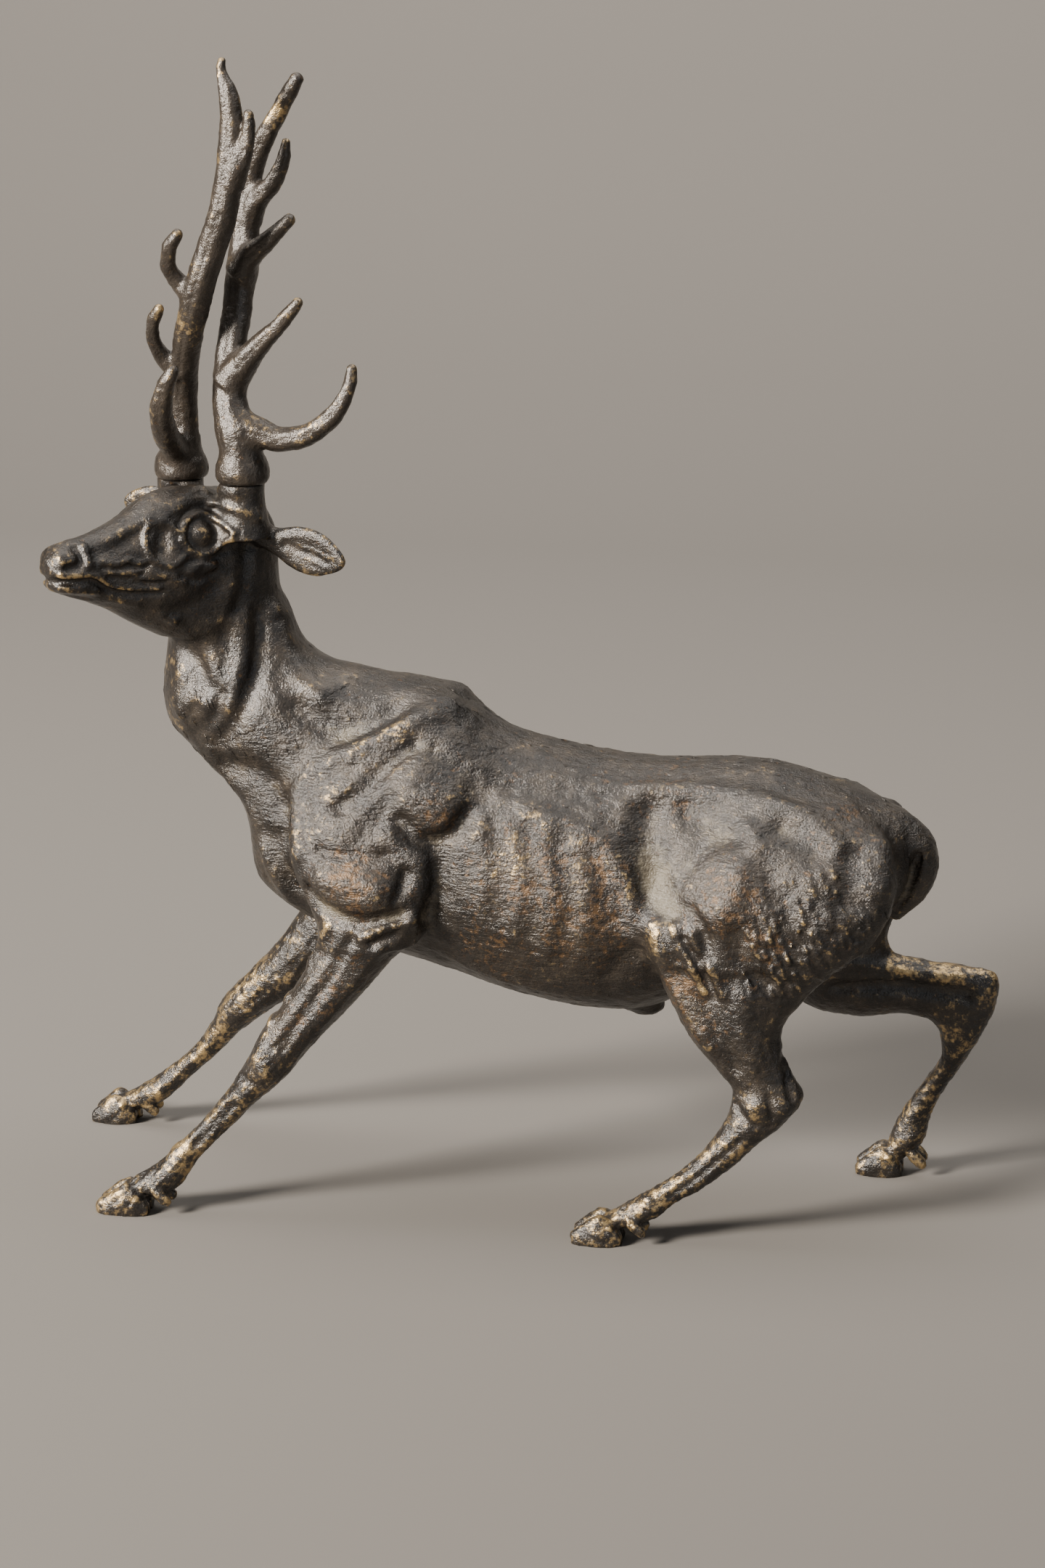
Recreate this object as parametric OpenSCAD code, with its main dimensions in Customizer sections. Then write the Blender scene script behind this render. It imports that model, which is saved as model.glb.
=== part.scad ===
// Cast stag standing on four cloven hooves, its head turned to its left.
// The stag faces -X with its left side towards -Y. The soles lie at z = 0.
// Millimetres. Stations are given on the nominal animal (132 long, 74 at the
// withers) and are mapped to the sizes below.

/* [Overall] */
// Length from the far fore hoof to the raised hock
body_length = 132; // [100:1:180]
// Width over the outer sides of the hooves
stance_width = 39; // [33:0.5:52]
// Height at the withers
withers_height = 74; // [60:0.5:100]

/* [Head] */
// Length from the back of the skull to the nose
head_length = 34; // [28:0.5:42]
// How far the head is turned to the left of the body
head_turn = 45; // [20:1:60]
// Thickness of the pedicle under each antler
pedicle_d = 5.8; // [4.6:0.1:7]
// Length of an ear from its root to its tip
ear_length = 13; // [9:0.5:17]
// Thickness of the ear root
ear_root_d = 3.4; // [2.6:0.1:4.4]

/* [Antlers] */
// Height of an antler above its pedicle
antler_height = 57; // [44:0.5:70]
// Width of the coronet round the antler base
coronet_d = 7; // [6:0.1:8.4]
// Height of the coronet
coronet_h = 3.4; // [2.6:0.1:4.4]
// Thickness of the beam halfway up
beam_d = 4.3; // [3.6:0.1:5.2]
// Thickness of a tine at its root
tine_d = 3.4; // [2.6:0.1:4.2]
// Thickness of the swivel peg
peg_d = 2.4; // [1.6:0.1:2.8]
// Depth of the peg in the skull
peg_in_skull = 7.5; // [5:0.5:9]
// Depth of the peg in the antler
peg_in_antler = 5; // [3:0.5:6]
// Running clearance round the peg, on the radius
peg_clearance = 0.05; // [0.02:0.01:0.1]

/* [Legs and tail] */
// Width of the cannon bones from side to side
cannon_w = 4; // [3.2:0.1:5.2]
// Height of a hoof at its coronet band
hoof_h = 3.8; // [3:0.1:5]
// Width of one toe of the cloven hooves
toe_w = 3; // [2.4:0.1:3.8]
// Length of the tail from its root to its tip
tail_length = 14; // [10:0.5:18]

/* [Dowels] */
// Thickness of the dowel in the neck joint
neck_dowel_d = 5; // [3:0.2:7]
// Thickness of the dowel in each leg joint
leg_dowel_d = 3; // [2:0.1:4]
// Depth of a leg dowel on each side of its joint
leg_dowel_depth = 6; // [4:0.5:7]
// Thickness of the tail pin
tail_pin_d = 1.6; // [1:0.1:2.2]
// Thickness of the ear pins
ear_pin_d = 1.2; // [0.8:0.1:1.8]
// Clearance round each fixed dowel and pin, on the radius
dowel_clearance = 0.03; // [0.01:0.01:0.08]

/* [Hidden] */

bronze = [0.24, 0.20, 0.15];
rubbed_bronze = [0.50, 0.40, 0.22];
steel = [0.62, 0.62, 0.60];
eps = 0.01;

// Shares of the nominal animal
kx = body_length / 132;
ky = stance_width / 39;
kz = withers_height / 74;
kh = head_length / 34;
ka = antler_height / 57;
kt = tail_length / 14;

// Offset that centres the outline over the origin
x_shift = 0.95;
y_shift = 0.65;

// Joint planes
fore_seam_z = 44;
hind_seam_z = 46;
fore_seam_y = 8.6;
hind_seam_y = 6.5;
tail_seam_x = 52.6;
ear_stub = 1.8;

// How far the fixed pins, stubs and pedicles reach into the metal
tail_pin_in_torso = 5;
tail_pin_in_tail = 2;
neck_dowel_depth = 9;
ear_pin_depth = 3;
ear_stub_root = 5 * kh;
pedicle_root = 7 * kh;
pedicle_flare = 1.25;
eye_r = 1.5 * kh;

// A nominal station mapped to the real animal
function place(x, y, z) = [(x + x_shift) * kx, (y + y_shift) * ky, z * kz];

// Head frame: forward, left and up, from the middle of the crown
crown = place(-42.6, -2, 100.4);
head_forward = [-cos(head_turn), -sin(head_turn), 0];
head_left = [sin(head_turn), -cos(head_turn), 0];
function in_head(f, l, u) = crown + (head_forward * f + head_left * l + [0, 0, u]) * kh;

function unit(v) = v / norm(v);

// A ring is [centre, half axis, half axis]
function section(front, back, y, w) =
    let (f = place(front.x, y, front.y), b = place(back.x, y, back.y))
    [(f + b) / 2, (f - b) / 2, [0, w * ky, 0]];
function head_section(f, top, bottom, w) =
    [in_head(f, 0, (top + bottom) / 2), [0, 0, (top - bottom) / 2 * kh], head_left * w * kh];
function neck_section(front, back, w, turn) =
    let (f = place(front.x, front.y, front.z), b = place(back.x, back.y, back.z))
    [(f + b) / 2, (f - b) / 2, [sin(turn) * w * ky, -cos(turn) * w * ky, 0]];

// Square rings along a path of points, each with its radius
function path_dir(points, i) =
    unit(points[min(i + 1, len(points) - 1)] - points[max(i - 1, 0)]);
function tube_rings(points, radii, ref, flat = 1) = [for (i = [0:len(points) - 1])
    let (d = path_dir(points, i), a = unit(cross(d, ref)), s = cross(d, a))
    [points[i], a * radii[i], s * radii[i] * flat]];
function level_first(rings) = [for (i = [0:len(rings) - 1])
    i > 0 ? rings[i] : [rings[0][0], [-norm(rings[0][1]), 0, 0], [0, -norm(rings[0][2]), 0]]];

module loft(rings, sides = 16) {
    last = len(rings) - 1;
    points = [for (r = rings) for (j = [0:sides - 1])
        r[0] + r[1] * cos(360 * j / sides) + r[2] * sin(360 * j / sides)];
    walls = [for (i = [0:last - 1]) for (j = [0:sides - 1])
        let (k = (j + 1) % sides, p = i * sides + j, q = i * sides + k)
        each [[p, q, q + sides], [p, q + sides, p + sides]]];
    caps = [[for (j = [sides - 1:-1:0]) j], [for (j = [0:sides - 1]) last * sides + j]];
    faces = concat(walls, caps);
    outward = cross(rings[0][1], rings[0][2]) * (rings[1][0] - rings[0][0]) > 0;
    polyhedron(points, outward ? [for (f = faces) [for (n = [len(f) - 1:-1:0]) f[n]]] : faces);
}

// A round bar between two points
module bar(from, to, d) {
    v = to - from;
    translate(from)
        rotate([0, acos(v.z / norm(v)), atan2(v.y, v.x)])
            cylinder(d = d, h = norm(v), $fn = 32);
}

// Joint middles and directions
neck_seam_front = [-46.3, 0, 63.1];
neck_seam_back = [-21.5, 0, 75.1];
neck_ring = neck_section(neck_seam_front, neck_seam_back, 9.5, 0);
neck_axis = unit(cross(neck_ring[1], neck_ring[2]));

function fore_dowel(side) = side > 0 ? place(-20.5, -13.3, fore_seam_z) : place(-25, 13.3, fore_seam_z);
function hind_dowel(side) = side > 0 ? place(35, -12, hind_seam_z) : place(38, 12, hind_seam_z);
tail_root = place(tail_seam_x, 0, 53.8);
tail_inner = tail_root - [tail_pin_in_torso, 0, 0];
tail_outer = tail_root + [tail_pin_in_tail, 0, 0];
neck_inner = neck_ring[0] - neck_axis * neck_dowel_depth;
neck_outer = neck_ring[0] + neck_axis * neck_dowel_depth;

function pedicle(side) = side > 0 ? in_head(-1.2, 6, 1.3) : in_head(1.3, -6, 0.3);
function ear_root(side) = side > 0 ? in_head(-3.8, 6.5, -6.4) : in_head(-3.2, -8.1, -7);
function ear_axis(side) = side > 0
    ? unit(head_left * 10.5 - head_forward * 5.6 - [0, 0, 2.4])
    : unit(-head_left * 12 + head_forward * 4.4 + [0, 0, 1]);
function ear_seam(side) = ear_root(side) + ear_axis(side) * ear_stub;

// Legs -------------------------------------------------------------------

// Two toes side by side, flat underneath
module hoof(heel_x, tip_x, y) {
    length = heel_x - tip_x;
    for (toe = [-1, 1])
        intersection() {
            loft([for (s = [[0, 0.45, 0.35], [0.25, 0.85, 0.48], [0.5, 1, 0.5], [0.8, 0.62, 0.4], [1, 0.2, 0.14]])
                let (x = heel_x - length * s[0], c = place(x, y + toe * toe_w * (0.44 + 0.1 * s[0]), 0))
                [c + [0, 0, hoof_h * s[1] * 0.4], [0, 0, hoof_h * s[1] * 0.6], [0, toe_w * s[2], 0]]], 12);
            translate(place(tip_x - 2, y - 8, 0))
                cube([length * kx + 6, 16 * ky, hoof_h * 2]);
        }
}

kc = cannon_w / 4;

module foreleg_left() color(rubbed_bronze) difference() {
    union() {
        loft([section([-25.5, fore_seam_z], [-12, fore_seam_z], -13, 4.4),
              section([-27, 38], [-17.5, 34.5], -13.4, 4.2),
              section([-29.2, 34], [-22.6, 29.2], -13.8, 3.8),
              section([-33.6, 27], [-27.6, 22.6], -14.6, 3.3),
              section([-35.8, 23.3], [-31, 19.4], -15, 3.1),
              section([-38.3, 18.6], [-34.6, 15.7], -15.6, 2.4 * kc),
              section([-40, 16.4], [-36.8, 13.5], -15.9, 2 * kc),
              section([-44.8, 11], [-41.8, 8.4], -16.6, 2 * kc),
              section([-48.6, 7.5], [-44.6, 4.4], -17, 2.5 * kc),
              section([-51.4, 5.3], [-48.2, 2.3], -17.4, 2.2 * kc),
              section([-53, 3], [-51, 1.4], -17.6, 1.6 * kc)], 14);
        hoof(-49, -56.8, -17.6);
    }
    leg_inside(-70, -9, 30, fore_seam_y, 1);
    dowel_hole(fore_dowel(1), leg_dowel_d);
}

module foreleg_right() color(rubbed_bronze) difference() {
    union() {
        loft([section([-31, fore_seam_z], [-15, fore_seam_z], 13, 4.4),
              section([-34, 36.8], [-25.5, 31.8], 13.4, 4.2),
              section([-39.4, 29], [-33, 24.6], 14, 3.7),
              section([-44.2, 24], [-38.6, 20.2], 14.8, 3.3),
              section([-46.8, 20.6], [-42, 17.4], 15.2, 3.1),
              section([-49.3, 15.8], [-46.2, 13], 15.8, 2.1 * kc),
              section([-54, 10.4], [-51.2, 7.8], 16.6, 2 * kc),
              section([-58.8, 6.5], [-55.4, 3.5], 17, 2.5 * kc),
              section([-61.5, 4.9], [-59, 2.1], 17.4, 2.2 * kc),
              section([-63.4, 3], [-61.6, 1.4], 17.6, 1.6 * kc)], 14);
        hoof(-60.4, -67.3, 17.6);
    }
    leg_inside(-70, -9, 30, fore_seam_y, -1);
    dowel_hole(fore_dowel(-1), leg_dowel_d);
}

module hindleg_left() color(bronze) difference() {
    union() {
        loft([section([18.5, hind_seam_z], [51, hind_seam_z], -12, 5.5),
              section([19.3, 39], [45, 39], -12.4, 5.3),
              section([22, 33.2], [39.8, 33.6], -12.8, 4.9),
              section([26.4, 27.6], [37.8, 29], -13.4, 4.2),
              section([30.6, 22], [40, 24.2], -14, 3.4),
              section([31.2, 19], [41, 20.4], -14.4, 3.2),
              section([29.9, 16.5], [36.2, 15.6], -14.8, 2.7 * kc),
              section([27, 12.6], [30.4, 9.9], -15.5, 2.1 * kc),
              section([21.5, 8.3], [24.6, 5.5], -16.3, 2.1 * kc),
              section([17.4, 5.5], [20.8, 2.6], -16.8, 2.5 * kc),
              section([15, 4.3], [17.4, 2], -17.1, 2.2 * kc),
              section([13.6, 3], [15.2, 1.4], -17.3, 1.6 * kc)], 14);
        hoof(16.8, 9.8, -17.4);
    }
    leg_inside(10, 60, 25, hind_seam_y, 1);
    dowel_hole(hind_dowel(1), leg_dowel_d);
}

module hindleg_right() color(bronze) difference() {
    union() {
        loft([section([20.5, hind_seam_z], [51.5, hind_seam_z], 12, 5.5),
              section([25.5, 39.5], [50.8, 40], 12.4, 5.3),
              section([30.5, 33], [50.4, 37], 12.8, 5),
              section([36.5, 26.6], [49.8, 34.8], 13, 4.6),
              section([45.2, 24.6], [52.2, 33.8], 13.4, 4),
              section([51.5, 25.2], [56, 33.1], 13.8, 3.5),
              section([55.9, 24.8], [61, 32.4], 14, 3.1),
              section([57.7, 22.6], [65.4, 31.4], 14.2, 3),
              section([58, 20], [65.3, 25.6], 14.4, 2.8),
              section([57.5, 17.6], [62.4, 20], 14.6, 2.4 * kc),
              section([53.4, 11.8], [57.4, 11.4], 15, 2 * kc),
              section([51.6, 7.8], [56.1, 8], 15.2, 2.1 * kc),
              section([50.6, 5.4], [55.2, 4.4], 15.4, 2.4 * kc),
              section([49.6, 4], [52.6, 3], 15.6, 2.1 * kc),
              section([48.8, 2.8], [51.4, 1.6], 15.6, 1.6 * kc)], 14);
        hoof(52.2, 45.8, 15.6);
    }
    leg_inside(10, 60, 25, hind_seam_y, -1);
    dowel_hole(hind_dowel(-1), leg_dowel_d);
}

// The flat inner face that a leg's upper end butts against
module leg_inside(x0, x1, z0, seam_y, side) {
    a = place(x0, side > 0 ? -seam_y : 0, z0);
    b = place(x1, side > 0 ? 0 : seam_y, 60);
    translate(a) cube(b - a);
}

module dowel_hole(at, d) {
    translate(at - [0, 0, leg_dowel_depth])
        cylinder(d = d + 2 * dowel_clearance, h = leg_dowel_depth * 2, $fn = 32);
}

module leg_dowel(at) color(steel) {
    translate(at - [0, 0, leg_dowel_depth])
        cylinder(d = leg_dowel_d, h = leg_dowel_depth * 2, $fn = 32);
}

module foreleg_dowel_left() leg_dowel(fore_dowel(1));
module foreleg_dowel_right() leg_dowel(fore_dowel(-1));
module hindleg_dowel_left() leg_dowel(hind_dowel(1));
module hindleg_dowel_right() leg_dowel(hind_dowel(-1));

// Torso ------------------------------------------------------------------

module shoulder(side) {
    loft([section([side > 0 ? -25.5 : -31, fore_seam_z], [side > 0 ? -12 : -15, fore_seam_z], -13 * side, 4.4),
          section([-32, 50], [-11, 50], -11 * side, 5),
          section([-32, 57], [-6, 56], -9.5 * side, 5),
          section([-27, 64], [-4, 63], -7 * side, 4.2),
          section([-20, 70.5], [-7, 69], -4 * side, 2.8)], 16);
}

module haunch(side) {
    loft([section([side > 0 ? 18.5 : 20.5, hind_seam_z], [side > 0 ? 51 : 51.5, hind_seam_z], -12 * side, 5.5),
          section([21, 52], [52.5, 52], -10 * side, 6),
          section([26, 57], [50, 56.6], -8 * side, 5),
          section([30, 61.4], [45, 60.4], -5.4 * side, 3.2)], 16);
}

// Room for the upper end of a leg, below its joint plane
module fore_notch(side) {
    a = place(-33, side > 0 ? -20 : fore_seam_y, 20);
    b = place(-10, side > 0 ? -fore_seam_y : 20, fore_seam_z);
    translate(a) cube(b - a);
}

module hind_notch(side) {
    fronts = side > 0 ? [[17.5, 46], [18, 39], [21, 33], [26, 26]] : [[19.5, 46], [24, 39], [29, 32], [34, 26]];
    outline = concat(fronts, [[62, 26], [62, hind_seam_z]]);
    y0 = place(0, side > 0 ? -20 : hind_seam_y, 0).y;
    y1 = place(0, side > 0 ? -hind_seam_y : 20, 0).y;
    translate([0, y1, 0]) rotate([90, 0, 0])
        linear_extrude(y1 - y0)
            polygon([for (p = outline) let (q = place(p.x, 0, p.y)) [q.x, q.z]]);
}

module torso() color(bronze) difference() {
    union() {
        loft([for (s = [[-38, 47, 56.5, 3], [-35.5, 43.5, 62, 7], [-29, 38.8, 70, 10.5], [-20, 35.2, 73.5, 12.5],
                        [-12, 33.6, 73, 13.6], [-4, 31.4, 69, 14.4], [4, 29.6, 66.2, 14.8], [12, 28.6, 64.8, 14.4],
                        [20, 29.4, 64.2, 13.2], [28, 33, 64.6, 12], [36, 37.5, 64.2, 11.4], [44, 40.5, 61.8, 10.6],
                        [49.6, 43.5, 59, 8.4], [52, 47, 57, 5.4]])
            section([s[0], s[2]], [s[0], s[1]], 0, s[3])], 24);
        loft([neck_section([-37, 0, 50], [-14, 0, 62], 9, 0),
              neck_section([-41.5, 0, 57.4], [-17, 0, 71], 9.6, 0),
              neck_ring], 24);
        for (side = [-1, 1]) {
            shoulder(side);
            haunch(side);
        }
        // Stub that carries the tail
        loft([[place(48, 0, 55), [0, 0, 3.4 * kz], [0, 4.2 * ky, 0]],
              [tail_root, [0, 0, 2.9 * kz], [0, 3.2 * ky, 0]]], 16);
        // Sheath under the belly
        loft([section([13, 31], [15.5, 30], 0, 2), section([14.6, 28.4], [19.4, 28.4], 0, 2.4),
              section([16.4, 27.6], [18.8, 27.4], 0, 1.4)], 12);
    }
    for (side = [-1, 1]) {
        fore_notch(side);
        hind_notch(side);
        dowel_hole(fore_dowel(side), leg_dowel_d);
        dowel_hole(hind_dowel(side), leg_dowel_d);
    }
    bar(neck_inner, neck_outer, neck_dowel_d + 2 * dowel_clearance);
    bar(tail_inner, tail_outer, tail_pin_d + 2 * dowel_clearance);
}

module tail() color(bronze) difference() {
    loft(concat(
        [[tail_root, [0, 0, 2.9 * kz], [0, 3.2 * ky, 0]]],
        [for (s = [[2.2, -0.6, 2.4, 1.2, 3.4], [3, -2.9, 1.8, -0.6, 3.2], [2.9, -6, 1.4, -0.2, 2.8],
                   [1.7, -9.4, 1.1, 0.3, 2], [0.3, -12.2, 0.6, 0.3, 1]])
            [tail_root + [s[0], 0, s[1]] * kt, [s[2], 0, s[3]], [0, s[4], 0]]]), 16);
    bar(tail_root - [eps, 0, 0], tail_outer, tail_pin_d + 2 * dowel_clearance);
}

module tail_pin() color(steel) bar(tail_inner, tail_outer, tail_pin_d);

module neck_dowel() color(steel) bar(neck_inner, neck_outer, neck_dowel_d);

// Head -------------------------------------------------------------------

module neck_and_head() color(bronze) difference() {
    union() {
        loft([neck_ring,
              neck_section([-50.3, -1, 69.5], [-28, 0.5, 76.3], 8.4, 12),
              neck_section([-50, -2.6, 73.6], [-32.6, 1.6, 80.2], 7.4, 25),
              neck_section([-48, -4, 78], [-35, 2.4, 85], 6.5, 38),
              neck_section([-46, -4, 83], [-37, 3, 91], 5.6, head_turn)], 20);
        loft([for (s = [[-7.4, -3.4, -9.5, 2.6], [-5.5, -0.8, -14, 4.8], [-1, 0.3, -18, 6.2], [4, 0.6, -20.4, 6.4],
                        [8, 0.5, -19.8, 6], [12, -0.9, -17.7, 5.2], [15, -2.9, -16.2, 4.6], [19, -4, -13.9, 4],
                        [23, -4.9, -12.3, 3.7], [25.3, -6, -11.2, 2.8], [26.2, -7.2, -9.8, 1.4]])
            head_section(s[0], s[1], s[2], s[3])], 20);
        for (side = [-1, 1]) {
            translate(pedicle(side) - [0, 0, pedicle_root])
                cylinder(d1 = pedicle_d * pedicle_flare, d2 = pedicle_d, h = pedicle_root, $fn = 32);
            bar(ear_root(side) - ear_axis(side) * ear_stub_root, ear_seam(side), ear_root_d);
            translate(in_head(5.1, 5.1 * side, -5.1)) sphere(r = eye_r, $fn = 20);
        }
    }
    bar(neck_inner, neck_outer, neck_dowel_d + 2 * dowel_clearance);
    for (side = [-1, 1]) {
        translate(pedicle(side) - [0, 0, peg_in_skull])
            cylinder(d = peg_d + 2 * peg_clearance, h = peg_in_skull + eps, $fn = 32);
        ear_pin_bar(side, dowel_clearance);
    }
}

module ear_pin_bar(side, gap)
    bar(ear_seam(side) - ear_axis(side) * ear_pin_depth, ear_seam(side) + ear_axis(side) * ear_pin_depth,
        ear_pin_d + 2 * gap);

module ear_pin_left() color(steel) ear_pin_bar(1, 0);
module ear_pin_right() color(steel) ear_pin_bar(-1, 0);

// Leaf shaped ear standing on its round root
module ear(side) color(bronze) difference() {
    axis = ear_axis(side);
    up = unit([0, 0, 1] - axis * axis.z);
    across = cross(axis, up);
    blade = ear_length - ear_stub;
    root_r = ear_root_d / 2;
    loft([for (s = [[0, 1, 1], [0.12, 1.05, 0.95], [0.3, 1.75, 0.75], [0.5, 2.15, 0.65], [0.7, 1.95, 0.55],
                    [0.88, 1.2, 0.4], [1, 0.3, 0.2]])
        [ear_seam(side) + axis * blade * s[0], up * root_r * s[1], across * root_r * s[2]]], 16);
    ear_pin_bar(side, dowel_clearance);
}
module ear_left() ear(1);
module ear_right() ear(-1);

// Antlers ----------------------------------------------------------------

// Points are given from the seat on the pedicle
left_beam = [[0, 0, 2.5], [-0.4, 0, 5], [-1.2, 0.4, 8], [-2.1, 1.8, 12], [-2.2, 3.6, 17], [-1.7, 5.6, 22.5],
             [-1.3, 6.8, 27.7], [-1, 8, 32.4], [-0.6, 8.6, 37], [0.8, 8.4, 41.8], [3.5, 7.6, 46.5], [7, 6.4, 54.2]];
left_tines = [[[-1, 0, 6.8], [1.5, -0.3, 7.4], [5.4, -1, 6.2], [9.7, -1.6, 7.2], [13.8, -1.8, 10.3], [15.5, -1.6, 14],
               [15.7, -1.4, 16.5]],
              [[-2, 1.6, 12.4], [0.2, 1, 14.8], [3.4, 0, 18.9], [6.5, -0.6, 22.3], [8.5, -0.6, 25]],
              [[-1.2, 6, 27], [0.4, 5.2, 29.6], [3.4, 4, 32.3], [6.5, 3.6, 35.6]],
              [[-0.6, 8.2, 35], [0.6, 7.6, 38.2], [3.4, 6.4, 41.1], [5, 5.8, 45.7]]];
right_beam = [[0, 0, 2.5], [0.3, 0, 5], [0.3, -0.2, 8.5], [0.5, -0.8, 12], [1.2, -2.9, 16.5], [2.2, -4.8, 20.5],
              [3.5, -6.2, 24.5], [5, -7.1, 28.6], [6.6, -7.2, 32.8], [8.2, -7.6, 36.8], [9.3, -7.6, 41], [10, -7.6, 45],
              [10, -7.5, 49.2], [9.6, -7.3, 53], [8.6, -7, 57]];
right_tines = [[[0.3, -0.4, 3.4], [-0.4, -2.6, 4], [-0.9, -6.2, 7.2], [-0.6, -8.8, 11], [0.5, -10.2, 14.4], [1.7, -10.4, 16.8]],
               [[0.8, -1.6, 15], [-0.2, -3, 16.4], [-1, -5, 19.7], [-0.3, -6.8, 23], [0.5, -7.3, 24.8]],
               [[4, -5.4, 27], [3, -6.4, 28.2], [2.2, -7.8, 30.9], [3.1, -9.4, 33.4], [4.4, -9.9, 35.4]],
               [[9.8, -7.8, 42], [11.4, -8.2, 45.2], [12.1, -8.6, 48.6], [12.3, -8.6, 51.4]]];
// Thickness along a beam and a tine, as shares
beam_share = [1.2, 1.15, 1.05, 0.95, 0.95, 1, 1.02, 1, 1, 0.92, 0.75, 0.3];
right_beam_share = [1.2, 1.1, 1, 0.92, 0.9, 0.92, 0.96, 1.05, 1.05, 1, 1, 0.9, 0.66, 0.42, 0.2];
function tine_share(n) = [for (i = [0:n - 1]) 1 - 0.62 * pow(i / (n - 1), 1.4)];

module antler(side, beam, beam_r, tines) color(rubbed_bronze) translate(pedicle(side)) difference() {
    union() {
        rotate_extrude($fn = 40)
            polygon([[0, 0], [coronet_d * 0.42, 0], [coronet_d * 0.5, coronet_h * 0.3], [coronet_d * 0.48, coronet_h * 0.6],
                     [beam_d * 0.58, coronet_h], [0, coronet_h]]);
        loft(level_first(tube_rings([for (p = beam) p * ka], [for (r = beam_r) r * beam_d / 2], [0, 1, 0])), 12);
        for (t = tines)
            loft(tube_rings([for (p = t) p * ka], [for (s = tine_share(len(t))) s * tine_d / 2], [0.1, 0.9, 0.35]), 10);
    }
    translate([0, 0, -eps])
        cylinder(d = peg_d + 2 * peg_clearance, h = peg_in_antler + eps, $fn = 32);
}
module antler_left() antler(1, left_beam, beam_share, left_tines);
module antler_right() antler(-1, right_beam, right_beam_share, right_tines);

module antler_peg(side) color(steel)
    translate(pedicle(side) - [0, 0, peg_in_skull])
        cylinder(d = peg_d, h = peg_in_skull + peg_in_antler, $fn = 32);
module antler_peg_left() antler_peg(1);
module antler_peg_right() antler_peg(-1);

torso();
neck_and_head();
foreleg_left();
foreleg_right();
hindleg_left();
hindleg_right();
tail();
ear_left();
ear_right();
neck_dowel();
foreleg_dowel_left();
foreleg_dowel_right();
hindleg_dowel_left();
hindleg_dowel_right();
tail_pin();
ear_pin_left();
ear_pin_right();
antler_peg_left();
antler_peg_right();
antler_left();
antler_right();
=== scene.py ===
"""Bronze statuette of a stag that braces its forelegs and lifts its head.

Stations are millimetres: X runs from nose to tail, Y from the animal's left
side to its right, Z up from the soles. They become metres in the mesh.
"""

import math

import bpy
import numpy as np
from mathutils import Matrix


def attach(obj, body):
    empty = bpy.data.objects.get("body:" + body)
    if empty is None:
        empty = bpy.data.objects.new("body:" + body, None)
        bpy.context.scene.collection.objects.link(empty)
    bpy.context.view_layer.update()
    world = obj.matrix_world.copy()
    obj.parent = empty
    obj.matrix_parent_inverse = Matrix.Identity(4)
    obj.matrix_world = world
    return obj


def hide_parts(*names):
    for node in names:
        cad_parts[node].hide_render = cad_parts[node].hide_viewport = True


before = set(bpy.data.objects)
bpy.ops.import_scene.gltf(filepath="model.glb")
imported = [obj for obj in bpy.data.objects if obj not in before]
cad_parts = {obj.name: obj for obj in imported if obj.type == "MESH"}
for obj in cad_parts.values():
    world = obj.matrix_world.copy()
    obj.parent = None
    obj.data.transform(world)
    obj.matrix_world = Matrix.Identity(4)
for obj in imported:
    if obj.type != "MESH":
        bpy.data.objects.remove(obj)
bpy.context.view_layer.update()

import openvdb
from mathutils import Vector

# Torso ------------------------------------------------------------------
# Barrel, chest, shoulders and haunches of the stag, cast in bronze in one
# mould. The sculptor's clay is worked up here as distances to the surface.

MM = 0.001
STATION_SHIFT = np.array([0.95, 0.65, 0.0])
REACH = 3.2  # how far from a surface the clay knows its distance
LAP = 0.5  # how far neighbouring castings run under each other at a joint
LEFT, RIGHT = -1, 1
BOTH = (LEFT, RIGHT)
COARSE = 1.0


def unit(v):
    return np.asarray(v, float) / np.linalg.norm(v)


def smooth_rows(rows, steps=6):
    """Rows of numbers joined by a smooth curve through each of them."""
    rows = np.asarray(rows, float)
    ends = np.vstack([2 * rows[0] - rows[1], rows, 2 * rows[-1] - rows[-2]])
    t = np.linspace(0, 1, steps, endpoint=False)[:, None]
    runs = [
        0.5 * (2 * b + (c - a) * t + (2 * a - 5 * b + 4 * c - d) * t**2 + (3 * b - a - 3 * c + d) * t**3)
        for a, b, c, d in zip(ends, ends[1:], ends[2:], ends[3:])
    ]
    return np.vstack(runs + [rows[-1:]])


def skin_over(rings, steps=6, sides=36, egg=0.0):
    """Closed skin over rings of [centre, half axis, side half axis]: points, triangles, quads."""
    rows = smooth_rows([np.ravel(r) for r in rings], steps)
    centre, up, side = rows[:, None, 0:3], rows[:, None, 3:6], rows[:, None, 6:9]
    turn = np.linspace(0, 2 * np.pi, sides, endpoint=False)[None, :, None]
    shell = centre + up * np.cos(turn) + side * np.sin(turn) * (1 - egg * np.cos(turn))
    points = np.vstack([shell.reshape(-1, 3), rows[0, 0:3], rows[-1, 0:3]])
    count = len(rows)
    i = np.arange(count - 1)[:, None] * sides
    j, k = np.arange(sides), (np.arange(sides) + 1) % sides
    quads = np.stack([i + j, i + k, i + sides + k, i + sides + j], -1).reshape(-1, 4)
    first, last = count * sides, count * sides + 1
    caps = [np.stack([np.full(sides, first), k, j], -1),
            np.stack([np.full(sides, last), (count - 1) * sides + j, (count - 1) * sides + k], -1)]
    return points, np.vstack(caps), quads


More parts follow.
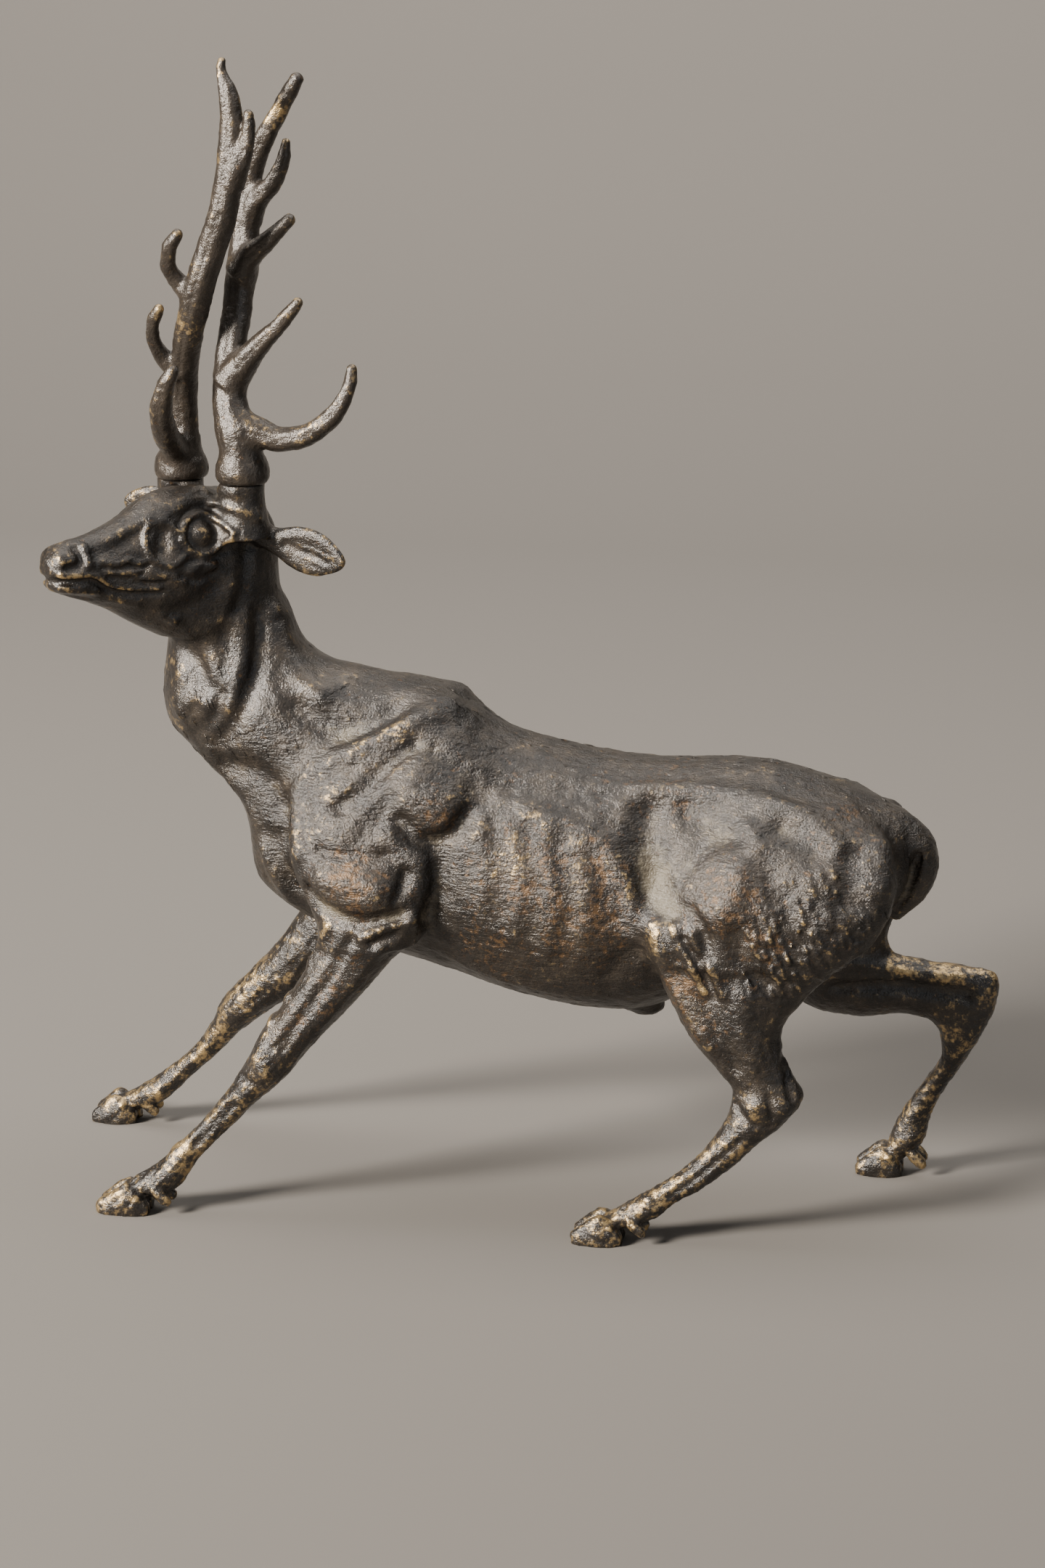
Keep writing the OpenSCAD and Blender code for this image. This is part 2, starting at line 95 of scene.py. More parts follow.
class Clay:
    """A block of clay: distance to the surface on a regular grid, below zero inside."""

    def __init__(self, low, high, cell, origin=(0, 0, 0), axes=np.eye(3)):
        self.origin, self.axes = np.array(origin, float), np.array(axes, float)
        self.low, self.cell = np.array(low, float), cell
        self.size = np.ceil((np.array(high, float) - self.low) / cell).astype(int) + 1
        self.field = np.full(self.size, REACH, np.float32)

    def local(self, points):
        return (np.asarray(points, float) - self.origin) @ self.axes.T

    def world(self, points):
        return points @ self.axes + self.origin

    def window(self, low, high):
        """The part of the block between two local corners, with its coordinates."""
        a = np.clip(np.floor((low - self.low) / self.cell).astype(int), 0, self.size)
        b = np.clip(np.ceil((high - self.low) / self.cell).astype(int) + 1, 0, self.size)
        if (b <= a).any():
            return None, None
        axes = [(self.low[k] + self.cell * np.arange(a[k], b[k])).astype(np.float32) for k in range(3)]
        return tuple(slice(i, j) for i, j in zip(a, b)), np.meshgrid(*axes, indexing="ij", sparse=True)

    def add(self, form, blend):
        """Joins a closed form to the clay, with a fillet of that size."""
        points, triangles, quads = form
        local = self.local(points)
        cut, _ = self.window(local.min(0) - REACH, local.max(0) + REACH)
        if cut is None:
            return
        start = np.array([c.start for c in cut])
        grid = openvdb.FloatGrid.createLevelSetFromPolygons(
            ((local - self.low) / self.cell - start).astype(np.float32),
            triangles=triangles.astype(np.uint32), quads=quads.astype(np.uint32), halfWidth=REACH / self.cell)
        distance = np.empty([c.stop - c.start for c in cut], np.float32)
        grid.copyToArray(distance)
        distance *= self.cell
        held = self.field[cut]
        near = np.maximum(blend - np.abs(held - distance), 0) / blend
        self.field[cut] = np.minimum(held, distance) - near * near * blend / 4

    def touch(self, path, width, height):
        """Raises the clay along a path, or hollows it where the height is below zero."""
        path = self.local(path)
        width = np.broadcast_to(np.asarray(width, np.float32), len(path))
        margin = 2.2 * width.max()
        cut, grid = self.window(path.min(0) - margin, path.max(0) + margin)
        if cut is None:
            return
        x, y, z = grid
        nearest = None
        for n in range(max(1, len(path) - 1)):
            a, m = path[n], min(n + 1, len(path) - 1)
            step = path[m] - a
            dx, dy, dz = x - np.float32(a[0]), y - np.float32(a[1]), z - np.float32(a[2])
            length = float(step @ step)
            if length:
                t = np.clip((dx * step[0] + dy * step[1] + dz * step[2]) / length, 0, 1).astype(np.float32)
                dx, dy, dz = dx - t * step[0], dy - t * step[1], dz - t * step[2]
                w = width[n] + (width[m] - width[n]) * t
            else:
                w = width[n]
            square = (dx * dx + dy * dy + dz * dz) / (w * w)
            nearest = square if nearest is None else np.minimum(nearest, square)
        self.field[cut] -= (height * np.exp(-nearest)).astype(np.float32)

    def measure(self):
        """Remembers, before any cut, how rounded or hollow the surface is at a fine and a coarse scale."""
        self.proud = softened(self.field, max(1, round(0.35 / self.cell**2)))
        self.sunk = softened(self.proud[::2, ::2, ::2], max(2, round(1.1 / self.cell**2)))

    def keep(self, region):
        """Cuts the clay back to a region, given as a function of world points' distance."""
        low, high = self.low, self.low + self.cell * (self.size - 1)
        cut, (x, y, z) = self.window(low, high)
        u = [self.origin[k] + x * self.axes[0, k] + y * self.axes[1, k] + z * self.axes[2, k] for k in range(3)]
        np.maximum(self.field, region(*u).astype(np.float32), out=self.field)

    def depth(self, a, c, side):
        """Where the clay's skin lies on its second axis above (a, c), on the left or the right."""
        i = int(round((a - self.low[0]) / self.cell))
        k = int(round((c - self.low[2]) / self.cell))
        i, k = min(max(i, 0), self.size[0] - 1), min(max(k, 0), self.size[2] - 1)
        solid = np.nonzero(self.field[i, :, k] < 0)[0]
        if not len(solid):
            return 3.0 * side
        j = solid[0] if side < 0 else solid[-1]
        column = self.field[i, :, k]
        n = min(max(j + side, 0), self.size[1] - 1)
        share = column[j] / (column[j] - column[n]) if column[n] != column[j] else 0
        return self.low[1] + self.cell * (j + side * share)


def station_ring(front_x, front_z, back_x, back_z, y, half_width):
    """A leg or tail ring between a point on the front outline and one on the back."""
    front, back = np.array([front_x, y, front_z]), np.array([back_x, y, back_z])
    return [(front + back) / 2, (front - back) / 2, [0, half_width, 0]]


def slice_ring(x, low, high, half_width, y=0.0):
    """An upright ring across the body."""
    return [[x, y, (low + high) / 2], [0, 0, (high - low) / 2], [0, half_width, 0]]


def neck_ring(front, back, half_width, turn):
    front, back, turn = np.array(front, float), np.array(back, float), math.radians(turn)
    across = np.array([math.sin(turn), -math.cos(turn), 0]) * half_width
    return [(front + back) / 2, (front - back) / 2, across]


forms = []  # every clay form, with the fillet that joins it to what is there
touches = []  # every ridge and hollow: path, width, height

barrel_rings = [slice_ring(*s) for s in [
    (-37.6, 47, 53, 2.2), (-36.2, 43.6, 60, 5.8), (-32.5, 40.6, 67, 8.8), (-27, 37.8, 72, 10.8),
    (-20, 35.4, 74, 12.2), (-13.5, 33.8, 73.5, 13.2), (-8, 32.4, 71.3, 13.9), (-2, 30.6, 67.7, 14.6),
    (5, 29.2, 65.8, 15), (12, 28.4, 64.7, 14.6), (18, 28.9, 64.3, 13.6), (24, 31.4, 64.4, 12.6),
    (30, 34.6, 64.7, 12.2), (36, 37.4, 64.2, 11.8), (42, 39.8, 62.6, 11.2), (47.5, 42.4, 60.6, 9.8),
    (52, 45.4, 58.4, 7), (53.8, 48.4, 56, 4)]]
forms.append((skin_over(barrel_rings, egg=0.08), 2.0))

neck_rings = [
    neck_ring((-36, 0, 46), (-14, 0, 60), 8, 0),
    neck_ring((-37.6, 0, 52), (-14.5, 0, 66), 9, 0),
    neck_ring((-41, 0, 57.6), (-17, 0, 72), 9.4, 0),
    neck_ring((-45.8, 0, 62.4), (-22, 0, 74.9), 9.2, 3),
    neck_ring((-49.4, -0.6, 66.4), (-27, 0.4, 76), 8.8, 8),
    neck_ring((-50.2, -1.6, 70), (-30.6, 1, 78), 8.2, 16),
    neck_ring((-49.6, -2.8, 73.6), (-32.6, 1.6, 80.8), 7.5, 25),
    neck_ring((-48.4, -4, 77.6), (-34.4, 2.4, 84.6), 6.8, 36),
    neck_ring((-47, -4.4, 82), (-35.8, 3, 89), 6.2, 45),
    neck_ring((-46, -4.4, 87), (-37, 3, 94), 5.6, 45)]
forms.append((skin_over(neck_rings, egg=-0.1), 3.0))

for side, reach in ((LEFT, 0), (RIGHT, -5)):
    shoulder = [station_ring(*s[:4], s[4] * side, s[5]) for s in [
        (-25.6 + reach, 40, -12.6 + reach, 40, 13, 4.2), (-27.5 + reach, 45, -11 + reach * 0.6, 45, 12.6, 4.6),
        (-30.4 + reach * 0.4, 51, -10, 50, 11, 5.2), (-30, 57, -7, 56, 9.6, 5.2),
        (-26.5, 63.5, -4.5, 62.5, 7.4, 4.6), (-20.5, 69.6, -6.5, 68, 4.8, 3.4), (-16.5, 73, -9, 71.6, 2.6, 1.8)]]
    forms.append((skin_over(shoulder), 2.6))
for side, reach in ((LEFT, 0), (RIGHT, 1.6)):
    haunch = [station_ring(*s[:4], s[4] * side, s[5]) for s in [
        (19.6 + reach, 40, 45 + reach, 40, 12.6, 5), (18.8 + reach, 46, 50.6, 45, 12.2, 5.4),
        (21.6, 51.5, 52.8, 50.6, 10.4, 5.8), (26, 56.8, 51, 56, 8.2, 4.8), (31, 61, 45.5, 60, 5.6, 3)]]
    forms.append((skin_over(haunch), 2.4))

sheath_rings = [station_ring(*s) for s in [
    (12.6, 31.6, 16.4, 30.4, 0, 2), (13.4, 29, 19.6, 29.2, 0, 2.3), (14.6, 28, 20, 28.2, 0, 2), (16.2, 27.3, 19, 27.3, 0, 1.1)]]
forms.append((skin_over(sheath_rings, sides=20), 1.2))

# Legs -------------------------------------------------------------------
# Four legs cast apart from the body, with bony knees and hocks, slim cannons
# and cloven hooves. Steel dowels hold them in the shoulders and haunches.

fore_left_rings = [station_ring(*s) for s in [
    (-27, 50, -10.5, 47, -12, 4.4), (-25.2, 45.4, -12, 41.6, -12.9, 4.2), (-25, 41, -15.8, 37.4, -13.3, 4.1),
    (-26.5, 38, -18.8, 33.7, -13.5, 3.9), (-28.5, 34.5, -22.1, 30, -13.9, 3.6), (-31.3, 30.1, -25.5, 26.3, -14.3, 3.4),
    (-33.4, 27.3, -28.2, 23.2, -14.6, 3.3), (-34.8, 24.8, -30, 20.8, -14.9, 3.4), (-36.4, 21.6, -32, 18.8, -15.2, 3.1),
    (-38, 19, -34.5, 16.6, -15.5, 2.4), (-40, 16.3, -37.1, 13.9, -15.9, 1.9), (-42.2, 13.5, -39.7, 11.3, -16.2, 1.7),
    (-44.6, 11, -42.2, 8.6, -16.5, 1.7), (-46.2, 9.7, -43.7, 6.6, -16.8, 2), (-47.8, 7.7, -45.2, 4.2, -17, 2.4),
    (-49.9, 6.1, -47.4, 2.9, -17.2, 2.2), (-51.8, 4.8, -49.6, 2.2, -17.4, 2), (-53.2, 3.8, -51.6, 1.6, -17.5, 1.6)]]
fore_right_rings = [station_ring(*s) for s in [
    (-33, 48, -14, 47, 12, 4.4), (-31.4, 43, -16.5, 41, 13, 4.2), (-33, 38.4, -21.8, 35.4, 13.3, 4.1),
    (-35, 34.8, -26.2, 31.2, 13.6, 4), (-38.6, 29.6, -31.8, 25.6, 14, 3.6), (-42.3, 25.6, -36.2, 21.8, 14.5, 3.3),
    (-44.6, 23.2, -39.2, 19.8, 14.8, 3.2), (-47, 20.2, -42, 17.6, 15.2, 3), (-48.4, 17.2, -44.8, 15.2, 15.6, 2.3),
    (-50.8, 13.4, -48, 11.8, 16, 1.8), (-53.8, 10.4, -51.4, 8.6, 16.4, 1.7), (-56.4, 8.2, -54.2, 5.8, 16.7, 1.8),
    (-58.6, 6.6, -56.2, 3.8, 17, 2.3), (-60.8, 5, -58.6, 2.5, 17.2, 2.1), (-62.6, 4.1, -60.6, 1.9, 17.4, 1.9),
    (-63.8, 3.4, -62.2, 1.4, 17.5, 1.5)]]
hind_left_rings = [station_ring(*s) for s in [
    (20, 49, 51.6, 47, -11.6, 5), (19.2, 44, 49.6, 43, -12.2, 5), (20.4, 39, 45.3, 39.4, -12.6, 4.9),
    (22.4, 34.4, 41.2, 35.2, -13, 4.6), (25.3, 29.3, 38.2, 31, -13.5, 4.1), (28.7, 25.4, 38.4, 27.6, -13.9, 3.4),
    (31.2, 22.6, 39.6, 24.6, -14.2, 3), (31.4, 20.4, 41.2, 21.6, -14.5, 3), (30.8, 18.2, 39.4, 18.4, -14.7, 2.8),
    (29.6, 15.8, 35.4, 14.8, -14.9, 2.5), (27.2, 12.7, 31.6, 11, -15.3, 2.1), (24.5, 10.2, 27.8, 8, -15.8, 1.8),
    (21.6, 8.2, 24.2, 5.8, -16.2, 1.8), (19.4, 6.8, 21.8, 3.8, -16.6, 2.3), (17, 5.2, 19, 2.6, -16.9, 2.1),
    (15.2, 4.2, 17, 2, -17.1, 1.9), (14, 3.4, 15.4, 1.6, -17.3, 1.5)]]
hind_right_rings = [station_ring(*s) for s in [
    (21.5, 49, 52.6, 47, 11.6, 5), (22, 43, 51.4, 43, 12.2, 5), (26, 37.6, 50.6, 39.4, 12.5, 4.8),
    (31.4, 31.4, 49.8, 36.6, 12.8, 4.4), (38.2, 25.6, 50.4, 33.8, 13.2, 3.8), (45.2, 24, 53.4, 33, 13.5, 3.3),
    (51.2, 24.6, 57, 32.4, 13.8, 2.9), (55, 24.2, 61, 32, 14, 2.7), (57, 22.6, 65, 31, 14.2, 2.7),
    (57.5, 20.4, 65.2, 27, 14.3, 2.6), (57.6, 18.6, 63.7, 23, 14.4, 2.5), (56.7, 16.6, 61, 18, 14.6, 2.1),
    (55.2, 14.4, 58.8, 14.4, 14.8, 1.8), (53.2, 11.4, 57, 11, 15, 1.7), (51.8, 8.8, 56, 8.2, 15.2, 1.9),
    (50.8, 6.4, 55.6, 5.6, 15.3, 2.3), (50.2, 4.8, 53.6, 3.4, 15.4, 2), (49.2, 3.8, 52.4, 2.2, 15.5, 1.8), (48.6, 3.2, 51, 1.6, 15.6, 1.5)]]
for rings in (fore_left_rings, fore_right_rings, hind_left_rings, hind_right_rings):
    forms.append((skin_over(rings, sides=24), 1.8))

# Each hoof is two toes side by side, with two dewclaws behind the pastern
for heel, tip, y in ((-49.6, -57, -17.6), (-60.6, -67.3, 17.6), (17, 10, -17.4), (52.4, 45.8, 15.6)):
    length = heel - tip
    for toe in BOTH:
        toe_rings = [slice_ring(heel - length * s, 0.7 - h * 0.6, h, w, y + toe * (1.32 + 0.2 * s))
                     for s, h, w in ((0, 1.5, 0.8), (0.16, 3.1, 1.3), (0.4, 4.3, 1.5), (0.6, 3.8, 1.45),
                                     (0.8, 2.7, 1.2), (0.94, 1.9, 0.8), (1, 1.4, 0.35))]
        forms.append((skin_over(toe_rings, sides=20), 0.35))
        claw = [slice_ring(heel + 3.5 - s, z - h, z + h, w, y + toe * 1.5)
                for s, z, h, w in ((0, 2.1, 0.3, 0.3), (0.6, 2.2, 0.9, 0.7), (1.6, 2.9, 1.1, 0.8), (2.8, 3.6, 0.8, 0.6))]
        forms.append((skin_over(claw, sides=16), 0.5))

# Tail -------------------------------------------------------------------
# Short tail folded down against the rump, cast apart and pinned at its root.

tail_rings = [station_ring(*s) for s in [
    (49.5, 59, 49, 52, 0, 3.4), (52.6, 58.2, 51.4, 52, 0, 3.6), (55.5, 56.2, 52.8, 51.8, 0, 3.4), (57.2, 53.6, 53.2, 50.8, 0, 3.2),
    (57.5, 50.4, 52.4, 49, 0, 2.9), (56.4, 47.2, 51.4, 46.8, 0, 2.4), (54.6, 44.8, 50.4, 45, 0, 1.9), (52.4, 42.9, 49.8, 43.6, 0, 1.1)]]
forms.append((skin_over(tail_rings, sides=24), 1.0))

# Head -------------------------------------------------------------------
# Neck and head, cast in one and turned half way round towards the viewer.
# Eyes, tear pits, lips and nostrils were chased after casting.

CROWN = np.array([-42.6, -2.0, 100.4])
HEAD_AXES = np.array([[-1, -1, 0], [1, -1, 0], [0, 0, math.sqrt(2)]]) / math.sqrt(2)


def in_head(points):
    return np.asarray(points, float) @ HEAD_AXES + CROWN


def head_ring(f, top, bottom, half_width):
    return [in_head([f, 0, (top + bottom) / 2]), HEAD_AXES[2] * (top - bottom) / 2, HEAD_AXES[1] * half_width]


head_rings = [head_ring(*s) for s in [
    (-8.2, -5, -10, 2.4), (-6.8, -2.4, -14.5, 4.6), (-3.5, -0.8, -18.6, 5.7), (0.5, -0.1, -20.4, 6.2),
    (4.5, 0.4, -21.2, 6.3), (8, 0.4, -20.3, 5.9), (11.3, -0.6, -18.6, 5.2), (14.2, -2.5, -16.9, 4.4),
    (17.2, -3.7, -15, 3.9), (20.4, -4.5, -13.5, 3.5), (23, -4.9, -12.5, 3.4), (25, -5.7, -11.5, 2.8), (26.3, -7.3, -9.7, 1.4)]]
forms.append((skin_over(head_rings, egg=0.06), 2.6))

PEDICLES = {LEFT: in_head([-1.2, 6, 1.3]), RIGHT: in_head([1.3, -6, 0.3])}
for seat in PEDICLES.values():
    rows = [[seat - [0, 0, d], [r, 0, 0], [0, r, 0]] for d, r in ((7.5, 4), (4.5, 3.3), (2, 2.95), (0, 3.0), (-1, 3.0))]
    forms.append((skin_over(rows, sides=28), 2.2))

# Chest, shoulder and haunch modelling. A blank of the whole animal gives the
# depth of each stroke, which is named by where it lies seen from the side.
blank = Clay((-75, -26, -2), (70, 26, 106), 0.7)
for form, blend in forms:
    blank.add(form, blend)
head_blank = Clay((-12, -10, -24), (29, 10, 6), 0.4, CROWN, HEAD_AXES)
for form, blend in forms:
    head_blank.add(form, blend)


def stroke(path, width, height, sides=BOTH, sink=0.0):
    """A ridge or hollow on the flank, through (x, z) stations."""
    path = smooth_rows(path, 3) if len(path) > 2 else path
    for side in sides:
        points = [[x, blank.depth(x, z, side) - sink * side, z] for x, z in path]
        touches.append((np.array(points), width, height))


def face_stroke(path, width, height, sides=BOTH, sink=0.0):
    """A ridge or hollow on the face, through (forward, up) places in the head."""
    path = smooth_rows(path, 3) if len(path) > 2 else path
    for side in sides:
        points = [[f, head_blank.depth(f, u, side) - sink * side, u] for f, u in path]
        touches.append((in_head(points), width, height))


# Neck: strap muscles, gullet, and the furrow in front of the shoulder
stroke([(-37.7, 82.2), (-37.4, 78), (-38.4, 74.5), (-39, 71)], 1.7, 0.7)
stroke([(-35.6, 83), (-35.6, 79), (-36, 74.2), (-38.2, 69.5), (-41, 65.5)], 1.3, -0.8)
stroke([(-33.6, 83), (-32.6, 79.5), (-31, 76.2), (-27, 72.6)], 2, 0.7)
stroke([(-46.8, 79.2), (-44, 76.4), (-42.4, 73.6)], 1.5, -0.7)
stroke([(-46.6, 74.6), (-47, 70.4)], 2, 0.5)
stroke([(-46.6, 69.4), (-44.2, 72), (-42.4, 71)], 0.9, 0.5)
stroke([(-44.6, 66.4), (-41, 69.6), (-40, 72.6)], 1.1, -0.5)
stroke([(-42, 81.6), (-41.4, 77), (-42, 73)], 1.5, 0.45)
stroke([(-29.4, 71.1), (-25.4, 68.7), (-21.4, 68.2), (-16.5, 70.6)], 1.9, -1.1)
stroke([(-40, 62), (-35, 61.4), (-32, 57), (-31.6, 52.5)], 1.8, -1.2)
stroke([(-33.6, 52.4), (-32.3, 49), (-29.9, 45.4)], 1.3, -0.9)
stroke([(-34.8, 50.4), (-33.6, 47), (-31.4, 43)], 1.2, 0.6)
stroke([(-36.4, 55), (-38.6, 58.4), (-43, 62.4)], 1.8, 0.5)
# Shoulder blade, its front edge and the muscles over the arm
stroke([(-9.4, 71.2), (-13.6, 70.2), (-18.6, 67.9), (-22.7, 65.3), (-26.4, 63.4), (-28.9, 60.4), (-29.2, 56), (-28.4, 52.4)], 1.5, 1.0)
stroke([(-26.4, 58.6), (-23.5, 61)], 2, 0.5)
stroke([(-22.6, 59), (-19.4, 61.4), (-16.4, 64.8), (-13, 67)], 1.1, -0.9)
stroke([(-20.4, 54.4), (-17.6, 57.4), (-15.8, 60)], 1.5, -0.6)
stroke([(-13, 61.4), (-9, 59.6)], 3.2, 1.3)
stroke([(-14.4, 57.4), (-11.4, 55), (-7.6, 55.6), (-5.4, 58.4)], 1.2, -1.3)
stroke([(-10.4, 66.4), (-6, 63.4), (-3.6, 60)], 1.4, -0.6)
stroke([(-24.6, 55.6), (-21, 54.6)], 2.2, 0.5)
stroke([(-25.4, 53), (-20, 52.6), (-16, 53)], 0.9, -0.5)
stroke([(-23.6, 49.6), (-17.4, 48.2)], 3, 1.3)
stroke([(-27, 47), (-24.6, 45.2), (-19.8, 43.9), (-14, 44.9)], 1.0, -1.5)
stroke([(-13.4, 50.4), (-14.6, 47)], 0.8, -0.7)
stroke([(-11.9, 51.6), (-11.6, 48.4)], 1.6, 0.8)
stroke([(-10.6, 44), (-9.4, 47.6), (-8.8, 52), (-9.6, 54)], 1.4, -1.1)
stroke([(-12.6, 44)], 1.3, 0.7)
# Ribs, hollow flank, loin and belly
for x, z, drop in ((-4, 58, 13), (0.6, 57, 15), (5.2, 56, 16), (9.8, 54.6, 15)):
    stroke([(x, z), (x + 1.6, z - drop * 0.5), (x + 0.6, z - drop)], 1.5, 0.32)
stroke([(3, 58.6), (8, 57.2), (12.6, 55.4), (16.3, 51.4), (17.6, 47), (17.6, 43)], 1.5, 0.85)
stroke([(19.2, 58.6), (19.4, 54), (20.4, 50), (22, 48)], 2.4, -1.6)
stroke([(-2, 62), (6, 61), (13, 60.4)], 1.6, -0.35)
stroke([(17.2, 61.4), (29.2, 61.7), (38.7, 60.5), (45, 56.6)], 1.3, 0.7)
stroke([(24.1, 58.8), (28.8, 57.6)], 1.9, -1.2)
stroke([(32.6, 58.2), (34.4, 56.4)], 1.3, 0.4)
stroke([(37.4, 58), (42, 56)], 1.9, -1.0)
stroke([(14, 36), (16.5, 40)], 2, -0.5)
stroke([(-6, 36), (2, 33.5), (10, 32.6)], 2, 0.35)
# Stifle, thigh and rump
stroke([(20.8, 44.6), (21.6, 42.2)], 1.9, 1.2)
stroke([(23.4, 45.4), (25.6, 41.4), (28, 36.6)], 0.8, 0.75)
stroke([(26.2, 44.4), (28.6, 40.6), (30.4, 36.6)], 0.8, 0.7)
stroke([(24.8, 43.8), (27.2, 39.8), (29, 36)], 0.6, -0.6)
stroke([(22.4, 46.8), (25.4, 47.6), (27.6, 45.4), (28, 41.6)], 1.1, -0.8)
stroke([(31.4, 52.4), (30, 48.6)], 3.4, 1.4)
stroke([(24.6, 52.4), (27, 55.8), (31.4, 57)], 1.4, -0.6)
stroke([(35.8, 53.6), (38.4, 49.4), (40, 44)], 2.2, -0.5)
stroke([(50.6, 56), (51, 51.4)], 1.9, 1.0)
stroke([(46.6, 54.6), (47, 50)], 2, -0.7)
for side in BOTH:
    slit = [(55, 2.9, 53), (54.5, 2.9, 50.4), (53.5, 2.6, 47.4), (52.2, 2.1, 45), (50.8, 1.4, 43)]
    touches.append((np.array([(x, y * side, z) for x, y, z in slit]), 0.5, -1.0))
stroke([(36, 38), (33, 41.8), (32.2, 45)], 1.5, -0.6)
stroke([(22.4, 38.4), (25, 33.6), (28.4, 28.8)], 1.3, 0.5, (LEFT,))
stroke([(27.8, 38), (29, 33), (32.4, 26.6)], 1.4, -0.55, (LEFT,))
stroke([(33.4, 36), (33.6, 31.4), (34.6, 27.4)], 1.8, 0.6, (LEFT,))

# Rows of chiselled locks down the back of each thigh
for row in range(9):
    for place in range(14):
        x = 33 + 1.25 * place + 0.6 * (row % 2) + 0.3 * math.sin(2.3 * place + 1.1 * row)
        z = 51 - 1.8 * row + 0.28 * place + 0.45 * math.sin(1.7 * place + row)
        if x < 50.4 - 0.12 * max(50 - z, 0) ** 1.25:
            stroke([(x, z), (x + 0.4, z - 1 - 0.4 * math.sin(place + 2 * row))], 0.33, 0.38, sink=-0.1)

# Forelegs: flexors, knee and cannon; hind legs: hock, tendon and cannon
stroke([(-24.2, 42.6), (-26, 38.6), (-29.2, 33.4), (-32.6, 28.4)], 0.8, 0.5, (LEFT,))
stroke([(-20.6, 41.6), (-23.2, 36.4), (-27, 30.6), (-30.6, 25.4)], 0.8, -0.55, (LEFT,))
stroke([(-16.6, 40.4), (-20.4, 35), (-25, 28.8)], 1, 0.4, (LEFT,))
stroke([(-12.6, 43.8), (-16, 43.4), (-19, 41.6)], 0.7, 0.5, (LEFT,))
stroke([(-14.6, 42.2), (-17.6, 41)], 0.6, -0.5, (LEFT,))
for leg, knee, cannon in ((LEFT, (-33.4, 22.6), [(-37.4, 16.6), (-43, 10.2)]), (RIGHT, (-43.8, 20.2), [(-48, 14.4), (-54.6, 8)])):
    kx, kz = knee
    stroke([(kx - 0.6, kz + 1), (kx + 0.5, kz - 0.8)], 1.2, 0.5, (leg,))
    stroke([(kx - 2, kz + 2.2), (kx + 1.4, kz + 2.4)], 0.5, -0.35, (leg,))
    stroke([(kx - 3, kz - 2), (kx, kz - 2.9)], 0.5, -0.35, (leg,))
    stroke(cannon, 0.45, -0.5, (leg,))
stroke([(-38.4, 28.4), (-42.6, 22.8)], 0.8, -0.4, (RIGHT,))
stroke([(38.9, 31), (38.6, 27.4), (39.2, 24), (39.9, 22)], 0.55, -1.1, (LEFT,))
stroke([(35.2, 20.6)], 1.3, 0.6, (LEFT,))
stroke([(38.9, 20.2)], 1.1, 0.5, (LEFT,))
stroke([(36.9, 22), (37.3, 19.2)], 0.5, -0.5, (LEFT,))
stroke([(32.4, 20.4), (34, 18.4), (37, 17.8)], 0.5, -0.4, (LEFT,))
stroke([(33, 15.6), (28, 10.8), (23.6, 7.2)], 0.45, -0.5, (LEFT,))
stroke([(43, 29.2), (50, 29.6), (56, 29), (61, 28.6)], 0.9, -1.5)
stroke([(42, 33.4), (48, 32.6), (54, 31.4), (60, 31)], 0.8, 0.7)
stroke([(62.6, 29)], 1.2, 0.5, (RIGHT,))
stroke([(59.6, 26.6), (60, 22.6)], 0.8, -0.5, (RIGHT,))
stroke([(58.6, 16.6), (55, 9.6)], 0.5, -0.4, (RIGHT,))
for heel, tip, side in ((-49.6, -57, LEFT), (-60.6, -67.3, RIGHT), (17, 10, LEFT), (52.4, 45.8, RIGHT)):
    length = heel - tip
    band = [(heel - 0.2 * length, 2.6), (heel - 0.42 * length, 4.2)]
    stroke(band, 0.4, 0.35, (side,))
    stroke([(heel + 0.3 - 0.1 * length, 3), (heel - 0.36 * length, 4.9)], 0.35, -0.3, (side,))

# Skull, brow and cheek
face_stroke([(1.2, 0.4), (5, -0.4), (9.4, -1.6), (13.4, -3.4), (17.6, -5)], 0.9, 0.5)
face_stroke([(12.6, -4), (16.6, -5.8), (20.4, -6.6)], 0.9, -0.35)
face_stroke([(-1.6, -3), (0.6, -2), (4, -1.1), (7.6, -1.7), (10.4, -3)], 0.7, 0.5)
# Eyeball in its socket, pupil, upper and lower lids
face_stroke([(4.9, -5.2)], 2.7, -0.9)
face_stroke([(4.9, -5.2)], 1.5, 1.7, sink=0.1)
face_stroke([(4.9, -5.2)], 0.38, -0.5)
face_stroke([(7.9, -5.6), (7, -3.6), (5, -2.7), (2.9, -3.3), (1.8, -5)], 0.42, 0.75)
face_stroke([(7.9, -5.6), (6.8, -7.3), (4.8, -7.9), (2.8, -7.2), (1.8, -5)], 0.4, 0.6)
face_stroke([(8.4, -4), (6.6, -2.4), (4.4, -1.8), (1.8, -2.6)], 0.3, -0.35)
face_stroke([(6.8, -8.6), (4.4, -9), (1.8, -8)], 0.35, -0.4)
